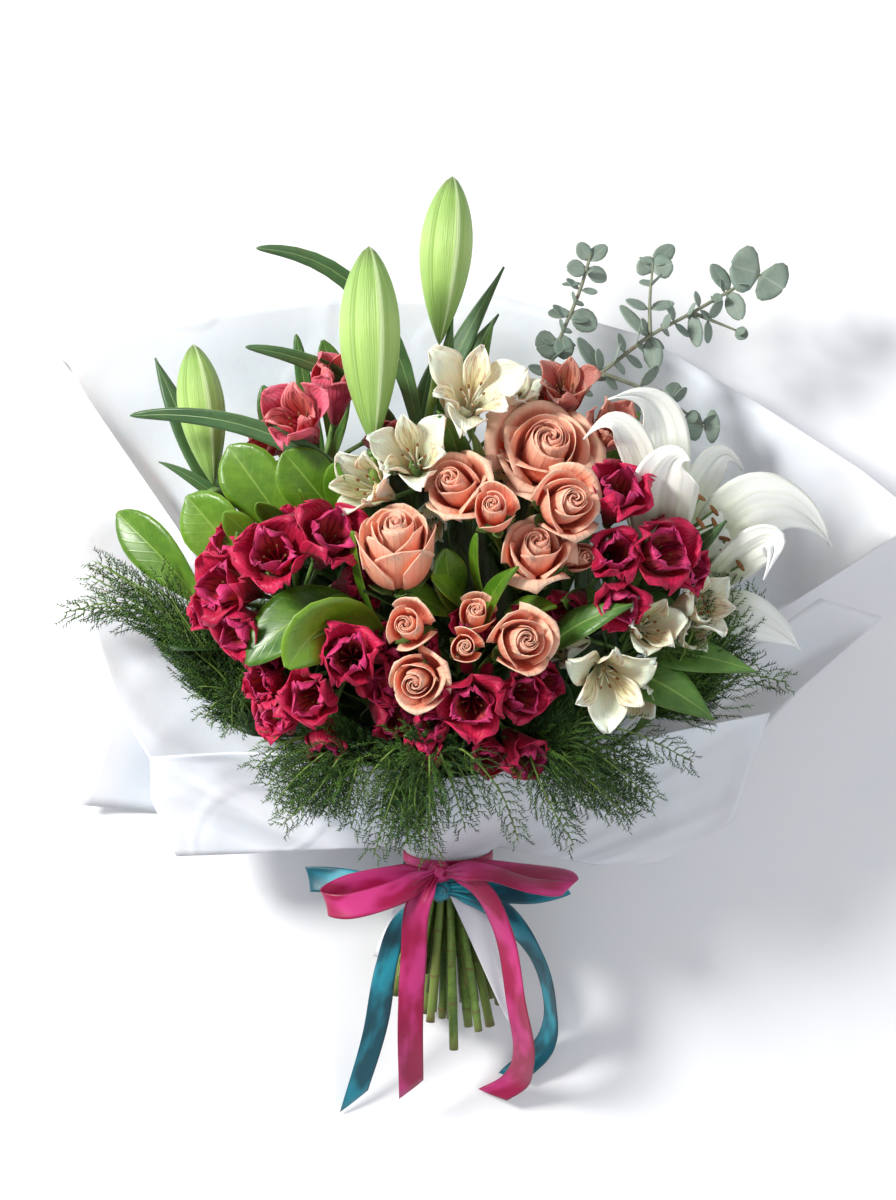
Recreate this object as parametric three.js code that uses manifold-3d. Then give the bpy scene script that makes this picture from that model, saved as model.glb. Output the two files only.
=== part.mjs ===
// A hand-tied bouquet of mixed flowers, wrapped in frosted paper and lying on its back.
// Millimetres. +Z is up from the table, +Y runs from the cut stems to the flowers, and the
// origin is on the table, on the flat of the wrap under the middle of the flowers.
import * as THREE from "three";
import { mergeVertices } from "three/addons/utils/BufferGeometryUtils.js";
import Module from "manifold-3d";

const wasm = await Module();
wasm.setup();

// Driving sizes
const CLEARANCE = 0.35; // air left between two pieces that touch
const SHORTEST = 0.05; // edges shorter than this are taken out of a finished piece
const PETAL = 0.9; // thickness of a petal
const LEAF = 0.9; // thickness of a leaf
const LEAF_STALK = 0.9; // half the width of a leaf's stalk
const NARROW = 19; // leaves narrower than this are flat across
const PAPER = 0.9; // thickness of a sheet of the wrap
const SATIN = 0.9; // thickness of a ribbon
const TIE = new THREE.Vector3(0, -154, 44); // where the stems are tied
const AXIS_TILT = THREE.MathUtils.degToRad(10); // the bouquet's axis above the table
const STEM_GAP = 0.5; // between neighbouring stems at the tie
const PACKING_ROUNDS = 60; // steps in which the stems are drawn together
const PACKING_PULL = 0.03; // how far the first of these steps draws a stem in, as a share
const PUSHES = 40; // passes in which overlapping stems are pushed apart, first and at each level
const PUSHES_A_ROUND = 10; // after each step inwards
const LAST_PUSHES = 300; // once they are drawn together
const STRAIGHT = 11; // the stems run side by side this far below and above the tie
const LEVEL_STEP = 5; // between the levels above the tie at which the stems are kept apart
const LINE_LEVELS = [2, 5, 9, 14, 20, 27, 35]; // which of these levels give a stem's line a point
const LEVEL_GAP = 1.4; // between neighbouring stems there
const SPREAD_ABOVE = 0.04; // how fast the stems part above the tie, per mm
const TWIST_ABOVE = 0.012; // how much they spiral, per mm
const FAN_BELOW = 0.021; // how fast they part below the tie, across the table, per mm
const FLATTEN_BELOW = 0.005; // the same, away from the table, per mm
const BINDING = { inner: 19.4, thickness: 1.2, width: 9 };
const BAND = { inner: 25.3, thickness: 1.1, width: 12.5 };
const HOOP_SIDES = 12;

// The bouquet's own directions at the tie: along the stems, and out towards the front.
const ALONG = new THREE.Vector3(0, Math.cos(AXIS_TILT), Math.sin(AXIS_TILT));
const FRONT = new THREE.Vector3(0, -Math.sin(AXIS_TILT), Math.cos(AXIS_TILT));
const RIGHT = new THREE.Vector3(1, 0, 0);
const UP = new THREE.Vector3(0, 0, 1);

const vec = (p) => new THREE.Vector3(...p);
const lerp = THREE.MathUtils.lerp;

// A seeded draw between low and high, so that every build is the same.
function draws(seed) {
  let state = seed;
  return (low, high) => {
    state = (state * 1664525 + 1013904223) % 4294967296;
    return low + ((high - low) * state) / 4294967296;
  };
}

// Solids

function toSolid(geometry) {
  const bare = new THREE.BufferGeometry();
  bare.setAttribute("position", geometry.getAttribute("position"));
  bare.setIndex(geometry.index);
  const merged = mergeVertices(bare, 1e-4);
  return new wasm.Manifold(
    new wasm.Mesh({
      numProp: 3,
      vertProperties: merged.attributes.position.array,
      triVerts: new Uint32Array(merged.index.array),
    }),
  );
}

function fuse(solids) {
  return wasm.Manifold.union(solids);
}

// A closed thin blade about surface(u, v), where u runs from -1 to 1 across it and v from 0 to 1
// along it. Both faces are split into triangles alike. grow makes it that much larger all round.
function blade(surface, across, along, thickness, grow = 0) {
  const grid = [];
  for (let i = 0; i <= along; i++)
    for (let j = 0; j <= across; j++) grid.push(surface((2 * j) / across - 1, i / along));
  return shell(grid, across + 1, along, thickness, grow);
}

// The solid on both sides of a grid of points, in rows of so many columns.
function shell(grid, columns, along, thickness, grow) {
  const { clamp } = THREE.MathUtils;
  const at = (i, j) => grid[clamp(i, 0, along) * columns + clamp(j, 0, columns - 1)];
  const away = (from, to) => to.clone().sub(from).normalize();
  const top = [];
  const bottom = [];
  for (let i = 0; i <= along; i++)
    for (let j = 0; j < columns; j++) {
      const point = at(i, j).clone();
      const normal = at(i, j + 1).clone().sub(at(i, j - 1));
      normal.cross(at(i + 1, j).clone().sub(at(i - 1, j))).normalize();
      if (j === 0) point.addScaledVector(away(at(i, 1), at(i, 0)), grow);
      if (j === columns - 1) point.addScaledVector(away(at(i, j - 1), at(i, j)), grow);
      if (i === 0) point.addScaledVector(away(at(1, j), at(0, j)), grow);
      if (i === along) point.addScaledVector(away(at(i - 1, j), at(i, j)), grow);
      const half = thickness / 2 + grow;
      top.push(...point.clone().addScaledVector(normal, half).toArray());
      bottom.push(...point.clone().addScaledVector(normal, -half).toArray());
    }
  const index = [];
  const below = grid.length;
  const rim = [];
  for (let j = 0; j < columns - 1; j++) {
    const next = j + 1;
    for (let i = 0; i < along; i++) {
      const [a, b] = [i * columns + j, i * columns + next];
      const [c, d] = [b + columns, a + columns];
      index.push(a, b, c, a, c, d);
      index.push(below + a, below + c, below + b, below + a, below + d, below + c);
    }
    rim.push([j, next], [along * columns + next, along * columns + j]);
  }
  for (let i = 0; i < along; i++) {
    rim.push([(i + 1) * columns, i * columns], [(i + 1) * columns - 1, (i + 2) * columns - 1]);
  }
  for (const [a, b] of rim) index.push(b, a, below + a, b, below + a, below + b);
  const geometry = new THREE.BufferGeometry();
  geometry.setAttribute("position", new THREE.Float32BufferAttribute([...top, ...bottom], 3));
  geometry.setIndex(index);
  return toSolid(geometry);
}

// A round stalk along a smooth curve through the points.
function stalk(points, radius, sides, steps, grow = 0) {
  const path = new THREE.CatmullRomCurve3(points, false, "centripetal");
  const section = new THREE.Shape();
  for (let k = 0; k < sides; k++) {
    const turn = (2 * Math.PI * k) / sides;
    const [x, y] = [(radius + grow) * Math.cos(turn), (radius + grow) * Math.sin(turn)];
    if (k === 0) section.moveTo(x, y);
    else section.lineTo(x, y);
  }
  return toSolid(
    new THREE.ExtrudeGeometry(section, { steps, bevelEnabled: false, extrudePath: path }),
  );
}

// A ball stretched to three radii, turned so that its third radius lies along a direction.
function knob(centre, direction, radii, grow = 0, sides = 6, rings = 4) {
  const geometry = new THREE.SphereGeometry(1, sides, rings);
  geometry.rotateX(Math.PI / 2);
  geometry.scale(...radii.map((r) => r + grow));
  geometry.applyMatrix4(new THREE.Matrix4().makeRotationFromQuaternion(turnTo(direction)));
  geometry.translate(centre.x, centre.y, centre.z);
  return toSolid(geometry);
}

// A three-sided spike from one point to another.
function spike(from, to, radius, grow = 0) {
  const run = to.clone().sub(from);
  const geometry = new THREE.ConeGeometry(radius + grow, run.length() + grow, 3);
  geometry.translate(0, run.length() / 2, 0);
  const turn = new THREE.Quaternion().setFromUnitVectors(
    new THREE.Vector3(0, 1, 0),
    run.normalize(),
  );
  geometry.applyMatrix4(new THREE.Matrix4().makeRotationFromQuaternion(turn));
  geometry.translate(from.x, from.y, from.z);
  return toSolid(geometry);
}

// A point on a stem's line, so far back from its end.
function backFrom(line, distance) {
  const curve = new THREE.CatmullRomCurve3(line, false, "centripetal");
  return curve.getPointAt(1 - distance / curve.getLength());
}

// The turn that takes +Z to a direction, keeping +Y as near to upright as it can be.
function turnTo(direction) {
  const z = direction.clone().normalize();
  const hint = Math.abs(z.y) > 0.95 ? UP : new THREE.Vector3(0, 1, 0);
  const x = hint.clone().cross(z).normalize();
  return new THREE.Quaternion().setFromRotationMatrix(
    new THREE.Matrix4().makeBasis(x, z.clone().cross(x), z),
  );
}

// Moves a bloom's own point to where the bloom sits.
function seat(base, direction, roll = 0) {
  const turn = turnTo(direction);
  const spin = new THREE.Quaternion().setFromAxisAngle(UP, roll);
  return (x, y, z) => new THREE.Vector3(x, y, z).applyQuaternion(spin).applyQuaternion(turn).add(base);
}

// A point of a cubic curve drawn in a bloom's own half plane, from four [radius, height] pairs.
function cubic([a, b, c, d], t) {
  const s = 1 - t;
  const mix = (k) =>
    s * s * s * a[k] + 3 * s * s * t * b[k] + 3 * s * t * t * c[k] + t * t * t * d[k];
  return [mix(0), mix(1)];
}

// Leaves

const OUTLINES = {
  // Half the width along the leaf, as a share of its widest.
  lance: (v) => Math.max(0.06, Math.sin(Math.PI * Math.pow(v, 0.75)) ** 0.9),
  strap: (v) => Math.max(0.05, Math.min(1, 0.45 + 2.2 * v) * Math.sqrt(Math.max(0, 1 - v * v * v))),
  spoon: (v) => Math.max(0.12, Math.sin(Math.PI * Math.pow(v, 1.45)) ** 0.65),
  coin: (v) => Math.max(0.2, Math.sin(Math.PI * Math.pow(v, 1.05)) ** 0.5),
};

// A leaf from its foot to its tip. bow moves the middle of its rib, face is the way it looks, and
// root is where its narrow stalk starts, if it has one.
function leaf({ from, to, bow, width, outline, face = [0, 0, 1], fold = 0.25, along = 2, root }, grow) {
  const [foot, tip] = [vec(from), vec(to)];
  const middle = foot.clone().add(tip).multiplyScalar(0.5).add(vec(bow ?? [0, 0, 0]));
  const rib = new THREE.QuadraticBezierCurve3(foot, middle, tip);
  const looks = vec(face).normalize();
  const rows = root ? along + 1 : along;
  const surface = (u, v) => {
    const row = v * rows - (rows - along);
    if (row < -0.5) {
      const side = foot.clone().sub(root).cross(looks).normalize();
      return root.clone().addScaledVector(side, u * LEAF_STALK);
    }
    const share = row / along;
    const side = rib.getTangent(share).cross(looks).normalize();
    const half = Math.max(LEAF_STALK, (OUTLINES[outline](share) * width) / 2);
    return rib
      .getPoint(share)
      .addScaledVector(side, u * half)
      .addScaledVector(looks, fold * Math.abs(u) * half);
  };
  return blade(surface, width < NARROW ? 1 : 2, rows, LEAF, grow);
}

// Stems: each has a slot in the tied bundle

// Where a point in space would pass through the tie if it slid down a stem of the spiral.
function slotFor(point) {
  const run = point.clone().sub(TIE);
  const height = run.dot(ALONG) - STRAIGHT;
  const [x, y] = [run.dot(RIGHT), run.dot(FRONT)];
  const [real, imaginary] = [1 + SPREAD_ABOVE * height, TWIST_ABOVE * height];
  const size = real * real + imaginary * imaginary;
  return new THREE.Vector2((x * real + y * imaginary) / size, (y * real - x * imaginary) / size);
}

// The point in space of a slot's stem beside the tie or below it, where the stems fan out.
function alongSlot(slot, height) {
  const past = Math.max(0, Math.abs(height) - STRAIGHT);
  return TIE.clone()
    .addScaledVector(ALONG, height)
    .addScaledVector(RIGHT, slot.x * (1 + FAN_BELOW * past))
    .addScaledVector(FRONT, slot.y * (1 + FLATTEN_BELOW * past));
}

// Moves every two of a set of circles that are less than a gap apart half their lack of room
// away from each other.
function pushApart(circles, gap) {
  circles.forEach((a, i) =>
    circles.slice(i + 1).forEach((b) => {
      const apart = a.at.clone().sub(b.at);
      const lack = a.radius + b.radius + gap - apart.length();
      if (lack <= 0) return;
      apart.setLength(lack / 2);
      a.at.add(apart);
      b.at.sub(apart);
    }),
  );
}

// Draws the stems together round the axis of the tie, with no two of them overlapping.
function packTie(stems) {
  for (const stem of stems) stem.slot = slotFor(stem.top);
  const circles = stems.map(({ slot, radius }) => ({ at: slot, radius }));
  for (let pass = 0; pass < PUSHES; pass++) pushApart(circles, STEM_GAP);
  for (let round = 0; round < PACKING_ROUNDS; round++) {
    const pull = PACKING_PULL * (1 - round / PACKING_ROUNDS);
    for (const { slot } of stems) slot.multiplyScalar(1 - pull);
    for (let pass = 0; pass < PUSHES_A_ROUND; pass++) pushApart(circles, STEM_GAP);
  }
  for (let pass = 0; pass < LAST_PUSHES; pass++) pushApart(circles, STEM_GAP);
}

// Lays the stems' lines from their cut ends through the tie to their tops. Above the tie each
// makes for its own top, and they are pushed apart at every level on the way.
function layStems(stems) {
  for (const stem of stems) {
    const run = stem.top.clone().sub(TIE);
    stem.height = run.dot(ALONG);
    stem.end = new THREE.Vector2(run.dot(RIGHT), run.dot(FRONT));
    stem.at = stem.slot.clone();
    stem.line = [-stem.below, -STRAIGHT, STRAIGHT].map((h) => alongSlot(stem.slot, h));
  }
  const highest = Math.max(...stems.map(({ height }) => height));
  for (let k = 1; STRAIGHT + k * LEVEL_STEP < highest; k++) {
    const level = STRAIGHT + k * LEVEL_STEP;
    const here = stems.filter(({ height }) => height > level + 2 * LEVEL_STEP);
    for (const { at, end, height } of here) at.lerp(end, LEVEL_STEP / (height - level + LEVEL_STEP));
    for (let pass = 0; pass < PUSHES; pass++) pushApart(here, LEVEL_GAP);
    if (!LINE_LEVELS.includes(k)) continue;
    for (const { line, at } of here) {
      const point = TIE.clone().addScaledVector(ALONG, level);
      line.push(point.addScaledVector(RIGHT, at.x).addScaledVector(FRONT, at.y));
    }
  }
  for (const stem of stems) {
    stem.line.push(stem.top.clone());
    for (const p of stem.line) p.z = Math.max(p.z, stem.radius + 1);
  }
}

// Blooms, each drawn in its own frame with +Z out of the flower

// A solid about a bloom's own axis from [radius, height] pairs that start and end on it, with flat
// sides that hold the round one.
function turned(outline, to, sides, grow) {
  const wider = 1 / Math.cos(Math.PI / sides);
  const geometry = new THREE.LatheGeometry(
    outline.map(([r, h]) => new THREE.Vector2(r > 0 ? (r + grow) * wider : 0, h)),
    sides,
  );
  const position = geometry.getAttribute("position");
  for (let i = 0; i < position.count; i++) {
    const lift = position.getY(i) > 0 ? grow : -grow;
    const point = to(position.getX(i), -position.getZ(i), position.getY(i) + lift);
    position.setXYZ(i, point.x, point.y, point.z);
  }
  return toSolid(geometry);
}

// A closed solid from a point below, through rings of as many points each, to a point above.
function ringed(low, rings, high) {
  const columns = rings[0].length;
  const points = [low, ...rings.flat(), high];
  const index = [];
  for (let j = 0; j < columns; j++) {
    const next = (j + 1) % columns;
    index.push(0, 1 + next, 1 + j);
    for (let k = 0; k < rings.length - 1; k++) {
      const [a, b] = [1 + k * columns + j, 1 + k * columns + next];
      index.push(a, b, b + columns, a, b + columns, a + columns);
    }
    const last = 1 + (rings.length - 1) * columns;
    index.push(points.length - 1, last + j, last + next);
  }
  const geometry = new THREE.BufferGeometry();
  geometry.setAttribute("position", new THREE.Float32BufferAttribute(points.flatMap((p) => p.toArray()), 3));
  geometry.setIndex(index);
  return toSolid(geometry);
}

// A rose: wrapped petals, each edge standing proud of the next petal, round a closed heart with a
// ring pressed into its top.
function rose({ base, facing, radius: R, height: H, open, petals }) {
  const to = seat(vec(base), vec(facing));
  const count = petals ?? (R < 15 ? 3 : 4);
  const line = rosePetal(R, H, open);
  const [[belly, low], [rim, high]] = [0.45, 1].map((v) => cubic(line, v));
  const rings = [
    [0.42 * R, 0.03 * H, 0, 0],
    [belly, low, 0.03 * R, 0],
    [rim, high, 0.06 * R, 0.06 * H],
    [rim - 1.5 * PETAL, high, 0.06 * R, 0.06 * H],
    [0.56 * R, 0.5 * H, 0, 0],
    [0.46 * R, 0.97 * H, 0, 0],
    [0.28 * R, 0.88 * H, 0, 0],
  ];
  const place = ([r, h, step, drop], j) => {
    const side = j % 3;
    const turn = ((Math.floor(j / 3) + [0.06, 0.5, 0.94][side]) * 2 * Math.PI) / count;
    const out = r + step * (side - 1);
    return to(out * Math.cos(turn), out * Math.sin(turn), h - (side === 1 ? 0 : drop));
  };
  const points = rings.map((ring) => Array.from({ length: 3 * count }, (_, j) => place(ring, j)));
  return [ringed(to(0, 0, 0), points, to(0, 0, 0.98 * H))];
}

// The line of a rose's outer petals, and the plain solid that they fill.
const rosePetal = (R, H, open) => [
  [0.3 * R, 0.08 * H],
  [1.15 * R, 0.06 * H],
  [0.92 * R, 0.7 * H],
  [R * (0.78 + 0.32 * open), H * (0.97 - 0.25 * open)],
];

function roseRoom({ base, facing, radius: R, height: H, open }, grow) {
  const [[belly, low], [rim, high]] = [0.45, 1].map((v) => cubic(rosePetal(R, H, open), v));
  const side = [[belly + 0.035 * R, low], [rim + 0.065 * R, high - 0.06 * H], [rim + 0.065 * R, high]];
  const outline = [[0, 0], [0.45 * R, 0], ...side, [0.47 * R, H], [0, H]];
  return [turned(outline, seat(vec(base), vec(facing)), 8, grow)];
}

// How a bloom's rim runs from one outer tepal to the next: the turn in degrees, and how far along
// the tepal's line the rim lies there.
const OPEN_RIM = [[-20, 0.96], [20, 0.96], [38, 0.5], [60, 0.93], [82, 0.5]];
const CLOSED_RIM = [[0, 1], [60, 0.8]];

// An alstroemeria: three broad outer tepals and three narrow inner ones round a throat. One that
// is still closed is a trumpet with three tips.
function alstroemeria({ base, facing, size = 1, open = 0.8, roll = 0 }) {
  const L = ALSTROEMERIA_LENGTH * size;
  const to = seat(vec(base), vec(facing), roll);
  const line = tepalLine(L, open);
  const rim = open > CLOSED ? OPEN_RIM : CLOSED_RIM;
  const ring = (share, inside) =>
    [0, 120, 240].flatMap((third) =>
      rim.map(([degrees, reach]) => {
        const turn = THREE.MathUtils.degToRad(third + degrees);
        const at = lerp(THROAT, reach, share);
        const [r, h] = cubic(line, at);
        const [r1, h1] = cubic(line, at - 0.02);
        const off = (inside * 1.2 * PETAL) / Math.hypot(r - r1, h - h1);
        const [out, up] = [r - off * (h - h1), h + off * (r - r1)];
        return to(out * Math.cos(turn), out * Math.sin(turn), up);
      }),
    );
  const rings = open > CLOSED
    ? [ring(0, 0), ring(0.55, 0), ring(1, 0), ring(1, 1)]
    : [ring(0, 0), ring(1, 0), ring(1, 1)];
  return [ringed(to(0, 0, 0), rings, to(0, 0, open > CLOSED ? 0.36 * L : 0.5 * L))];
}

// The line of its outer tepals.
const tepalLine = (L, open) => [
  [1.3, 0],
  [8.6, 0.4 * L],
  [0.24 * L * open + 5, 0.76 * L],
  [0.5 * L * open + 5, (1 - 0.16 * open) * L],
];

function alstroemeriaRoom({ base, facing, size = 1, open = 0.8, roll = 0 }, grow) {
  const line = tepalLine(ALSTROEMERIA_LENGTH * size, open);
  const [[neck, low], [rim, high]] = [THROAT, 1].map((v) => cubic(line, v));
  const side = [[neck + 0.3, low - 0.5], [rim + 0.6, high - 0.6], [rim + 0.6, high + 0.8]];
  const outline = [[0, -0.5], ...side, [0, high + 0.8]];
  return [turned(outline, seat(vec(base), vec(facing), roll), 7, grow)];
}

// A closed lily bud: a spindle with six seams.
function lilyBud({ base, facing, length, radius }, grow) {
  const to = seat(vec(base), vec(facing));
  const geometry = new THREE.SphereGeometry(1, 12, 7);
  const position = geometry.getAttribute("position");
  for (let i = 0; i < position.count; i++) {
    const [x, y, z] = [position.getX(i), position.getY(i), position.getZ(i)];
    const along = (1 - y) / 2;
    const ring = Math.hypot(x, z);
    const turn = Math.atan2(z, x);
    const girth = radius * Math.pow(Math.sin(Math.PI * Math.pow(1 - along, 0.8)), 0.85);
    const seam = 1 - 0.07 * (0.5 + 0.5 * Math.cos(6 * turn));
    const out = ring < 1e-3 ? 0 : girth * seam + grow;
    const point = to(out * Math.cos(turn), out * Math.sin(turn), along * length + grow * (2 * along - 1));
    position.setXYZ(i, point.x, point.y, point.z);
  }
  return [toSolid(geometry)];
}

// One long tepal of an open lily, on a cubic rib, with its tip rolled back.
function lilyTepal({ rib, width, face = [0, 0, 1] }, grow) {
  const curve = new THREE.CubicBezierCurve3(...rib);
  const looks = vec(face).normalize();
  const surface = (u, v) => {
    const side = curve.getTangent(v).cross(looks).normalize();
    const half = Math.max(0.9, (width / 2) * Math.sin(Math.PI * Math.pow(v, 0.85)) ** 0.8);
    return curve
      .getPoint(v)
      .addScaledVector(side, u * half)
      .addScaledVector(looks, 0.18 * u * u * half);
  };
  return blade(surface, 2, 3, PETAL, grow);
}

// The pieces, as they are listed: positions are [x, y, z]

const ALSTROEMERIA_LENGTH = 46;
const CLOSED = 0.6; // blooms that are no more open than this show no inner tepals
const THROAT = 0.25; // how far along their line the tepals part
const STEM = { lily: 3.9, rose: 2.6, spray: 2.6, alstroemeria: 2.3, leafy: 2.1, eucalyptus: 2.1, fern: 1.8 };
const PEDICEL = {
  rose: { radius: 1.8, calyx: [5, 5, 3] },
  lily: { radius: 2.6, calyx: [4, 4, 2.5] },
  alstroemeria: { radius: 1.4 },
};
const PEDICEL_SUNK = 5; // a pedicel runs this far into its bloom
const PEDICEL_STRAIGHT = 14; // and is straight for this far below a calyx
const UMBEL_HUB = [3.4, 3.4, 3];
const LILY_HEART = [8, 8, 7];
const OPEN_LILY_FACING = [0.5, 0.6, 0.6];
const UMBEL_BELOW = [62, 94, 100, 86, 70, 90, 98, 84]; // how far their stems reach below the tie

const ROSES = [
  {
    name: "rose_front", base: [-27, 10, 158], facing: [-0.05, 0.72, 0.7],
    radius: 21, height: 46, open: 0.25, petals: 5, on: "rose_front_stem",
  },
  {
    name: "rose_back", base: [51, 73, 128], facing: [0.15, 0.45, 0.88],
    radius: 27, height: 38, open: 1, petals: 6, on: "rose_back_stem",
  },
  {
    name: "spray_rose_high_1", base: [10, 55, 150], facing: [-0.3, 0.35, 0.89],
    radius: 17.5, height: 33, open: 0.8, on: "spray_rose_high_stem",
  },
  {
    name: "spray_rose_high_2", base: [25, 43, 172], facing: [-0.05, 0.3, 0.95],
    radius: 13, height: 30, open: 0.3, on: "spray_rose_high_stem",
  },
  {
    name: "spray_rose_high_3", base: [57, 48, 164], facing: [0.35, 0.2, 0.92],
    radius: 18, height: 33, open: 0.7, on: "spray_rose_high_stem",
  },
  {
    name: "spray_rose_high_4", base: [47, 16, 155], facing: [0.05, 0.5, 0.86],
    radius: 18, height: 34, open: 0.9, on: "spray_rose_high_stem",
  },
  {
    name: "spray_rose_high_5", base: [66, 20, 150], facing: [0.5, 0.2, 0.84],
    radius: 8, height: 20, open: 0, on: "spray_rose_high_stem",
  },
  {
    name: "spray_rose_low_1", base: [-18, -17, 170], facing: [-0.2, 0.15, 0.97],
    radius: 13.5, height: 28, open: 0.5, on: "spray_rose_low_stem",
  },
  {
    name: "spray_rose_low_2", base: [-13, -41, 168], facing: [-0.2, -0.15, 0.97],
    radius: 15, height: 28, open: 0.7, on: "spray_rose_low_stem",
  },
  {
    name: "spray_rose_low_3", base: [8, -26, 176], facing: [0.05, 0.05, 1],
    radius: 10, height: 24, open: 0.1, on: "spray_rose_low_stem",
  },
  {
    name: "spray_rose_low_4", base: [34, -24, 170], facing: [0.3, 0.1, 0.95],
    radius: 17, height: 30, open: 0.6, on: "spray_rose_low_stem",
  },
  {
    name: "spray_rose_low_5", base: [14, -13, 160], facing: [0.05, 0.35, 0.94],
    radius: 11, height: 24, open: 0.3, on: "spray_rose_low_stem",
  },
];

// Each head: the hub of its umbel, and its blooms by the point on the pedicel where the bloom starts.
const UMBELS = [
  {
    name: "crimson_left",
    look: "crimson",
    hub: [-84, -5, 112],
    blooms: [
      { base: [-72, 18, 146], facing: [0.25, 0.5, 0.83], size: 1.02, roll: 0.3 },
      { base: [-91, 15, 145], facing: [-0.1, 0.3, 0.95], size: 1, roll: 0.9 },
      { base: [-104, 3, 135], facing: [-0.6, 0.15, 0.78], size: 0.95, roll: 0.1 },
      { base: [-100, -8, 136], facing: [-0.5, -0.3, 0.81], size: 0.85, open: 0.55, roll: 0.6 },
    ],
  },
  {
    name: "crimson_low_left",
    look: "crimson",
    hub: [-55, -38, 122],
    blooms: [
      { base: [-52, -33, 145], facing: [-0.05, 0.1, 0.99], size: 0.95, open: 0.6, roll: 0.2 },
      { base: [-65, -47, 143], facing: [-0.35, -0.2, 0.91], size: 0.85, open: 0.6, roll: 0.8 },
      { base: [-79, -55, 140], facing: [-0.6, -0.35, 0.72], size: 0.66, open: 0.3, roll: 0 },
    ],
  },
  {
    name: "crimson_low",
    look: "crimson",
    hub: [15, -49, 122],
    blooms: [
      { base: [13, -52, 147], facing: [0, -0.15, 0.99], size: 0.95, open: 0.7, roll: 0.5 },
      { base: [29, -49, 143], facing: [0.4, -0.1, 0.9], size: 0.8, open: 0.6, roll: 0.1 },
      { base: [-1, -57, 146], facing: [-0.35, -0.45, 0.82], size: 0.62, open: 0.3, roll: 0 },
    ],
  },
  {
    name: "crimson_right",
    look: "crimson",
    hub: [97, 23, 105],
    blooms: [
      { base: [88, 42, 140], facing: [0.15, 0.5, 0.85], size: 1, open: 0.6, roll: 0.2 },
      { base: [86, 24, 142], facing: [-0.1, 0.05, 0.99], size: 0.95, roll: 0.7 },
      { base: [101, 23, 135], facing: [0.5, 0.1, 0.86], size: 1, roll: 0.4 },
      { base: [91, 9, 138], facing: [0.1, -0.4, 0.91], size: 0.8, open: 0.6, roll: 0 },
    ],
  },
  {
    name: "coral_back_left",
    look: "coral",
    hub: [-72, 75, 91],
    blooms: [
      { base: [-74, 89, 120], facing: [-0.3, 0.4, 0.86], size: 1, roll: 0.55 },
      { base: [-64, 99, 112], facing: [0.1, 0.8, 0.6], size: 0.95, open: 0.6, roll: 0.1 },
    ],
  },
  {
    name: "dusty_back_right",
    look: "dusty",
    hub: [73, 81, 80],
    blooms: [
      { base: [66, 100, 104], facing: [0, 0.65, 0.76], size: 0.92, open: 0.6, roll: 0.3 },
      { base: [80, 82, 112], facing: [0.4, 0.5, 0.77], size: 0.88, open: 0.6, roll: 0.8 },
    ],
  },
  {
    name: "cream_back",
    look: "cream",
    hub: [-6, 70, 92],
    blooms: [
      { base: [10, 101, 128], facing: [0.1, 0.4, 0.91], size: 1.1, open: 0.95, roll: 0.3 },
      { base: [-16, 69, 138], facing: [-0.1, 0.35, 0.93], size: 1, open: 0.8, roll: 0.8 },
      { base: [-30, 57, 138], facing: [-0.5, 0.2, 0.84], size: 1, open: 0.6, roll: 0.2 },
      { base: [29, 96, 112], facing: [0.45, 0.6, 0.66], size: 0.95, open: 0.6, roll: 0 },
    ],
  },
  {
    name: "cream_right",
    look: "cream",
    hub: [99, -29, 98],
    blooms: [
      { base: [84, -34, 138], facing: [0.1, -0.3, 0.95], size: 1.05, open: 0.85, roll: 0.5 },
      { base: [103, -17, 125], facing: [0.3, 0.1, 0.95], size: 0.9, open: 0.6, roll: 0.1 },
      { base: [124, -7, 112], facing: [0.6, 0.15, 0.79], size: 0.95, open: 0.6, roll: 0.8 },
    ],
  },
];

const LILY_BUDS = [
  {
    name: "lily_bud_front", base: [-41, 83, 158], facing: [-0.02, 0.99, 0.02],
    length: 111, radius: 16.6, on: "lily_stem_back",
  },
  {
    name: "lily_bud_tall", base: [-5, 144, 112], facing: [0.08, 0.99, 0.02],
    length: 96, radius: 14.8, on: "lily_stem_back",
  },
  {
    name: "lily_bud_left", base: [-134, 65, 96], facing: [-0.14, 0.98, 0.02],
    length: 82, radius: 13.4, on: "lily_stem_left",
  },
];

const OPEN_LILIES = [
  {
    name: "lily_open_back",
    base: [115, 20, 112],
    tepals: [
      { rib: [[116, 25, 118], [123, 73, 132], [131, 126, 140], [88, 110, 158]], width: 27 },
      {
        rib: [[113, 25, 122], [111, 66, 150], [100, 120, 170], [74, 88, 160]],
        width: 20, face: [-0.3, 0.2, 0.93],
      },
      { rib: [[116, 21, 124], [116, 49, 165], [117, 87, 172], [131, 75, 178]], width: 38 },
      {
        rib: [[119, 19, 114], [142, 56, 118], [152, 102, 112], [168, 74, 100]],
        width: 20, face: [0.3, 0.1, 0.95],
      },
      { rib: [[114, 23, 110], [105, 57, 92], [111, 93, 78], [129, 111, 62]], width: 26 },
      {
        rib: [[120, 16, 116], [147, 31, 130], [161, 48, 120], [168, 40, 98]],
        width: 24, face: [0.4, 0, 0.9],
      },
    ],
    on: "lily_stem_right",
  },
  {
    name: "lily_open_right",
    base: [139, -3, 92],
    tepals: [
      {
        rib: [[142, 0, 96], [150, 56, 128], [191, 72, 134], [219, 30, 100]],
        width: 40, face: [0.1, 0.1, 0.99],
      },
      {
        rib: [[142, -3, 99], [159, 22, 140], [194, 55, 150], [175, 11, 142]],
        width: 24, face: [0.1, -0.2, 0.97],
      },
      { rib: [[142, -6, 94], [159, -6, 118], [184, -11, 116], [203, -29, 86]], width: 26, face: [0, 0, 1] },
      { rib: [[141, 1, 90], [155, 34, 96], [179, 46, 90], [205, 47, 66]], width: 24, face: [0, 0, 1] },
    ],
    on: "lily_stem_right",
  },
];

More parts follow.
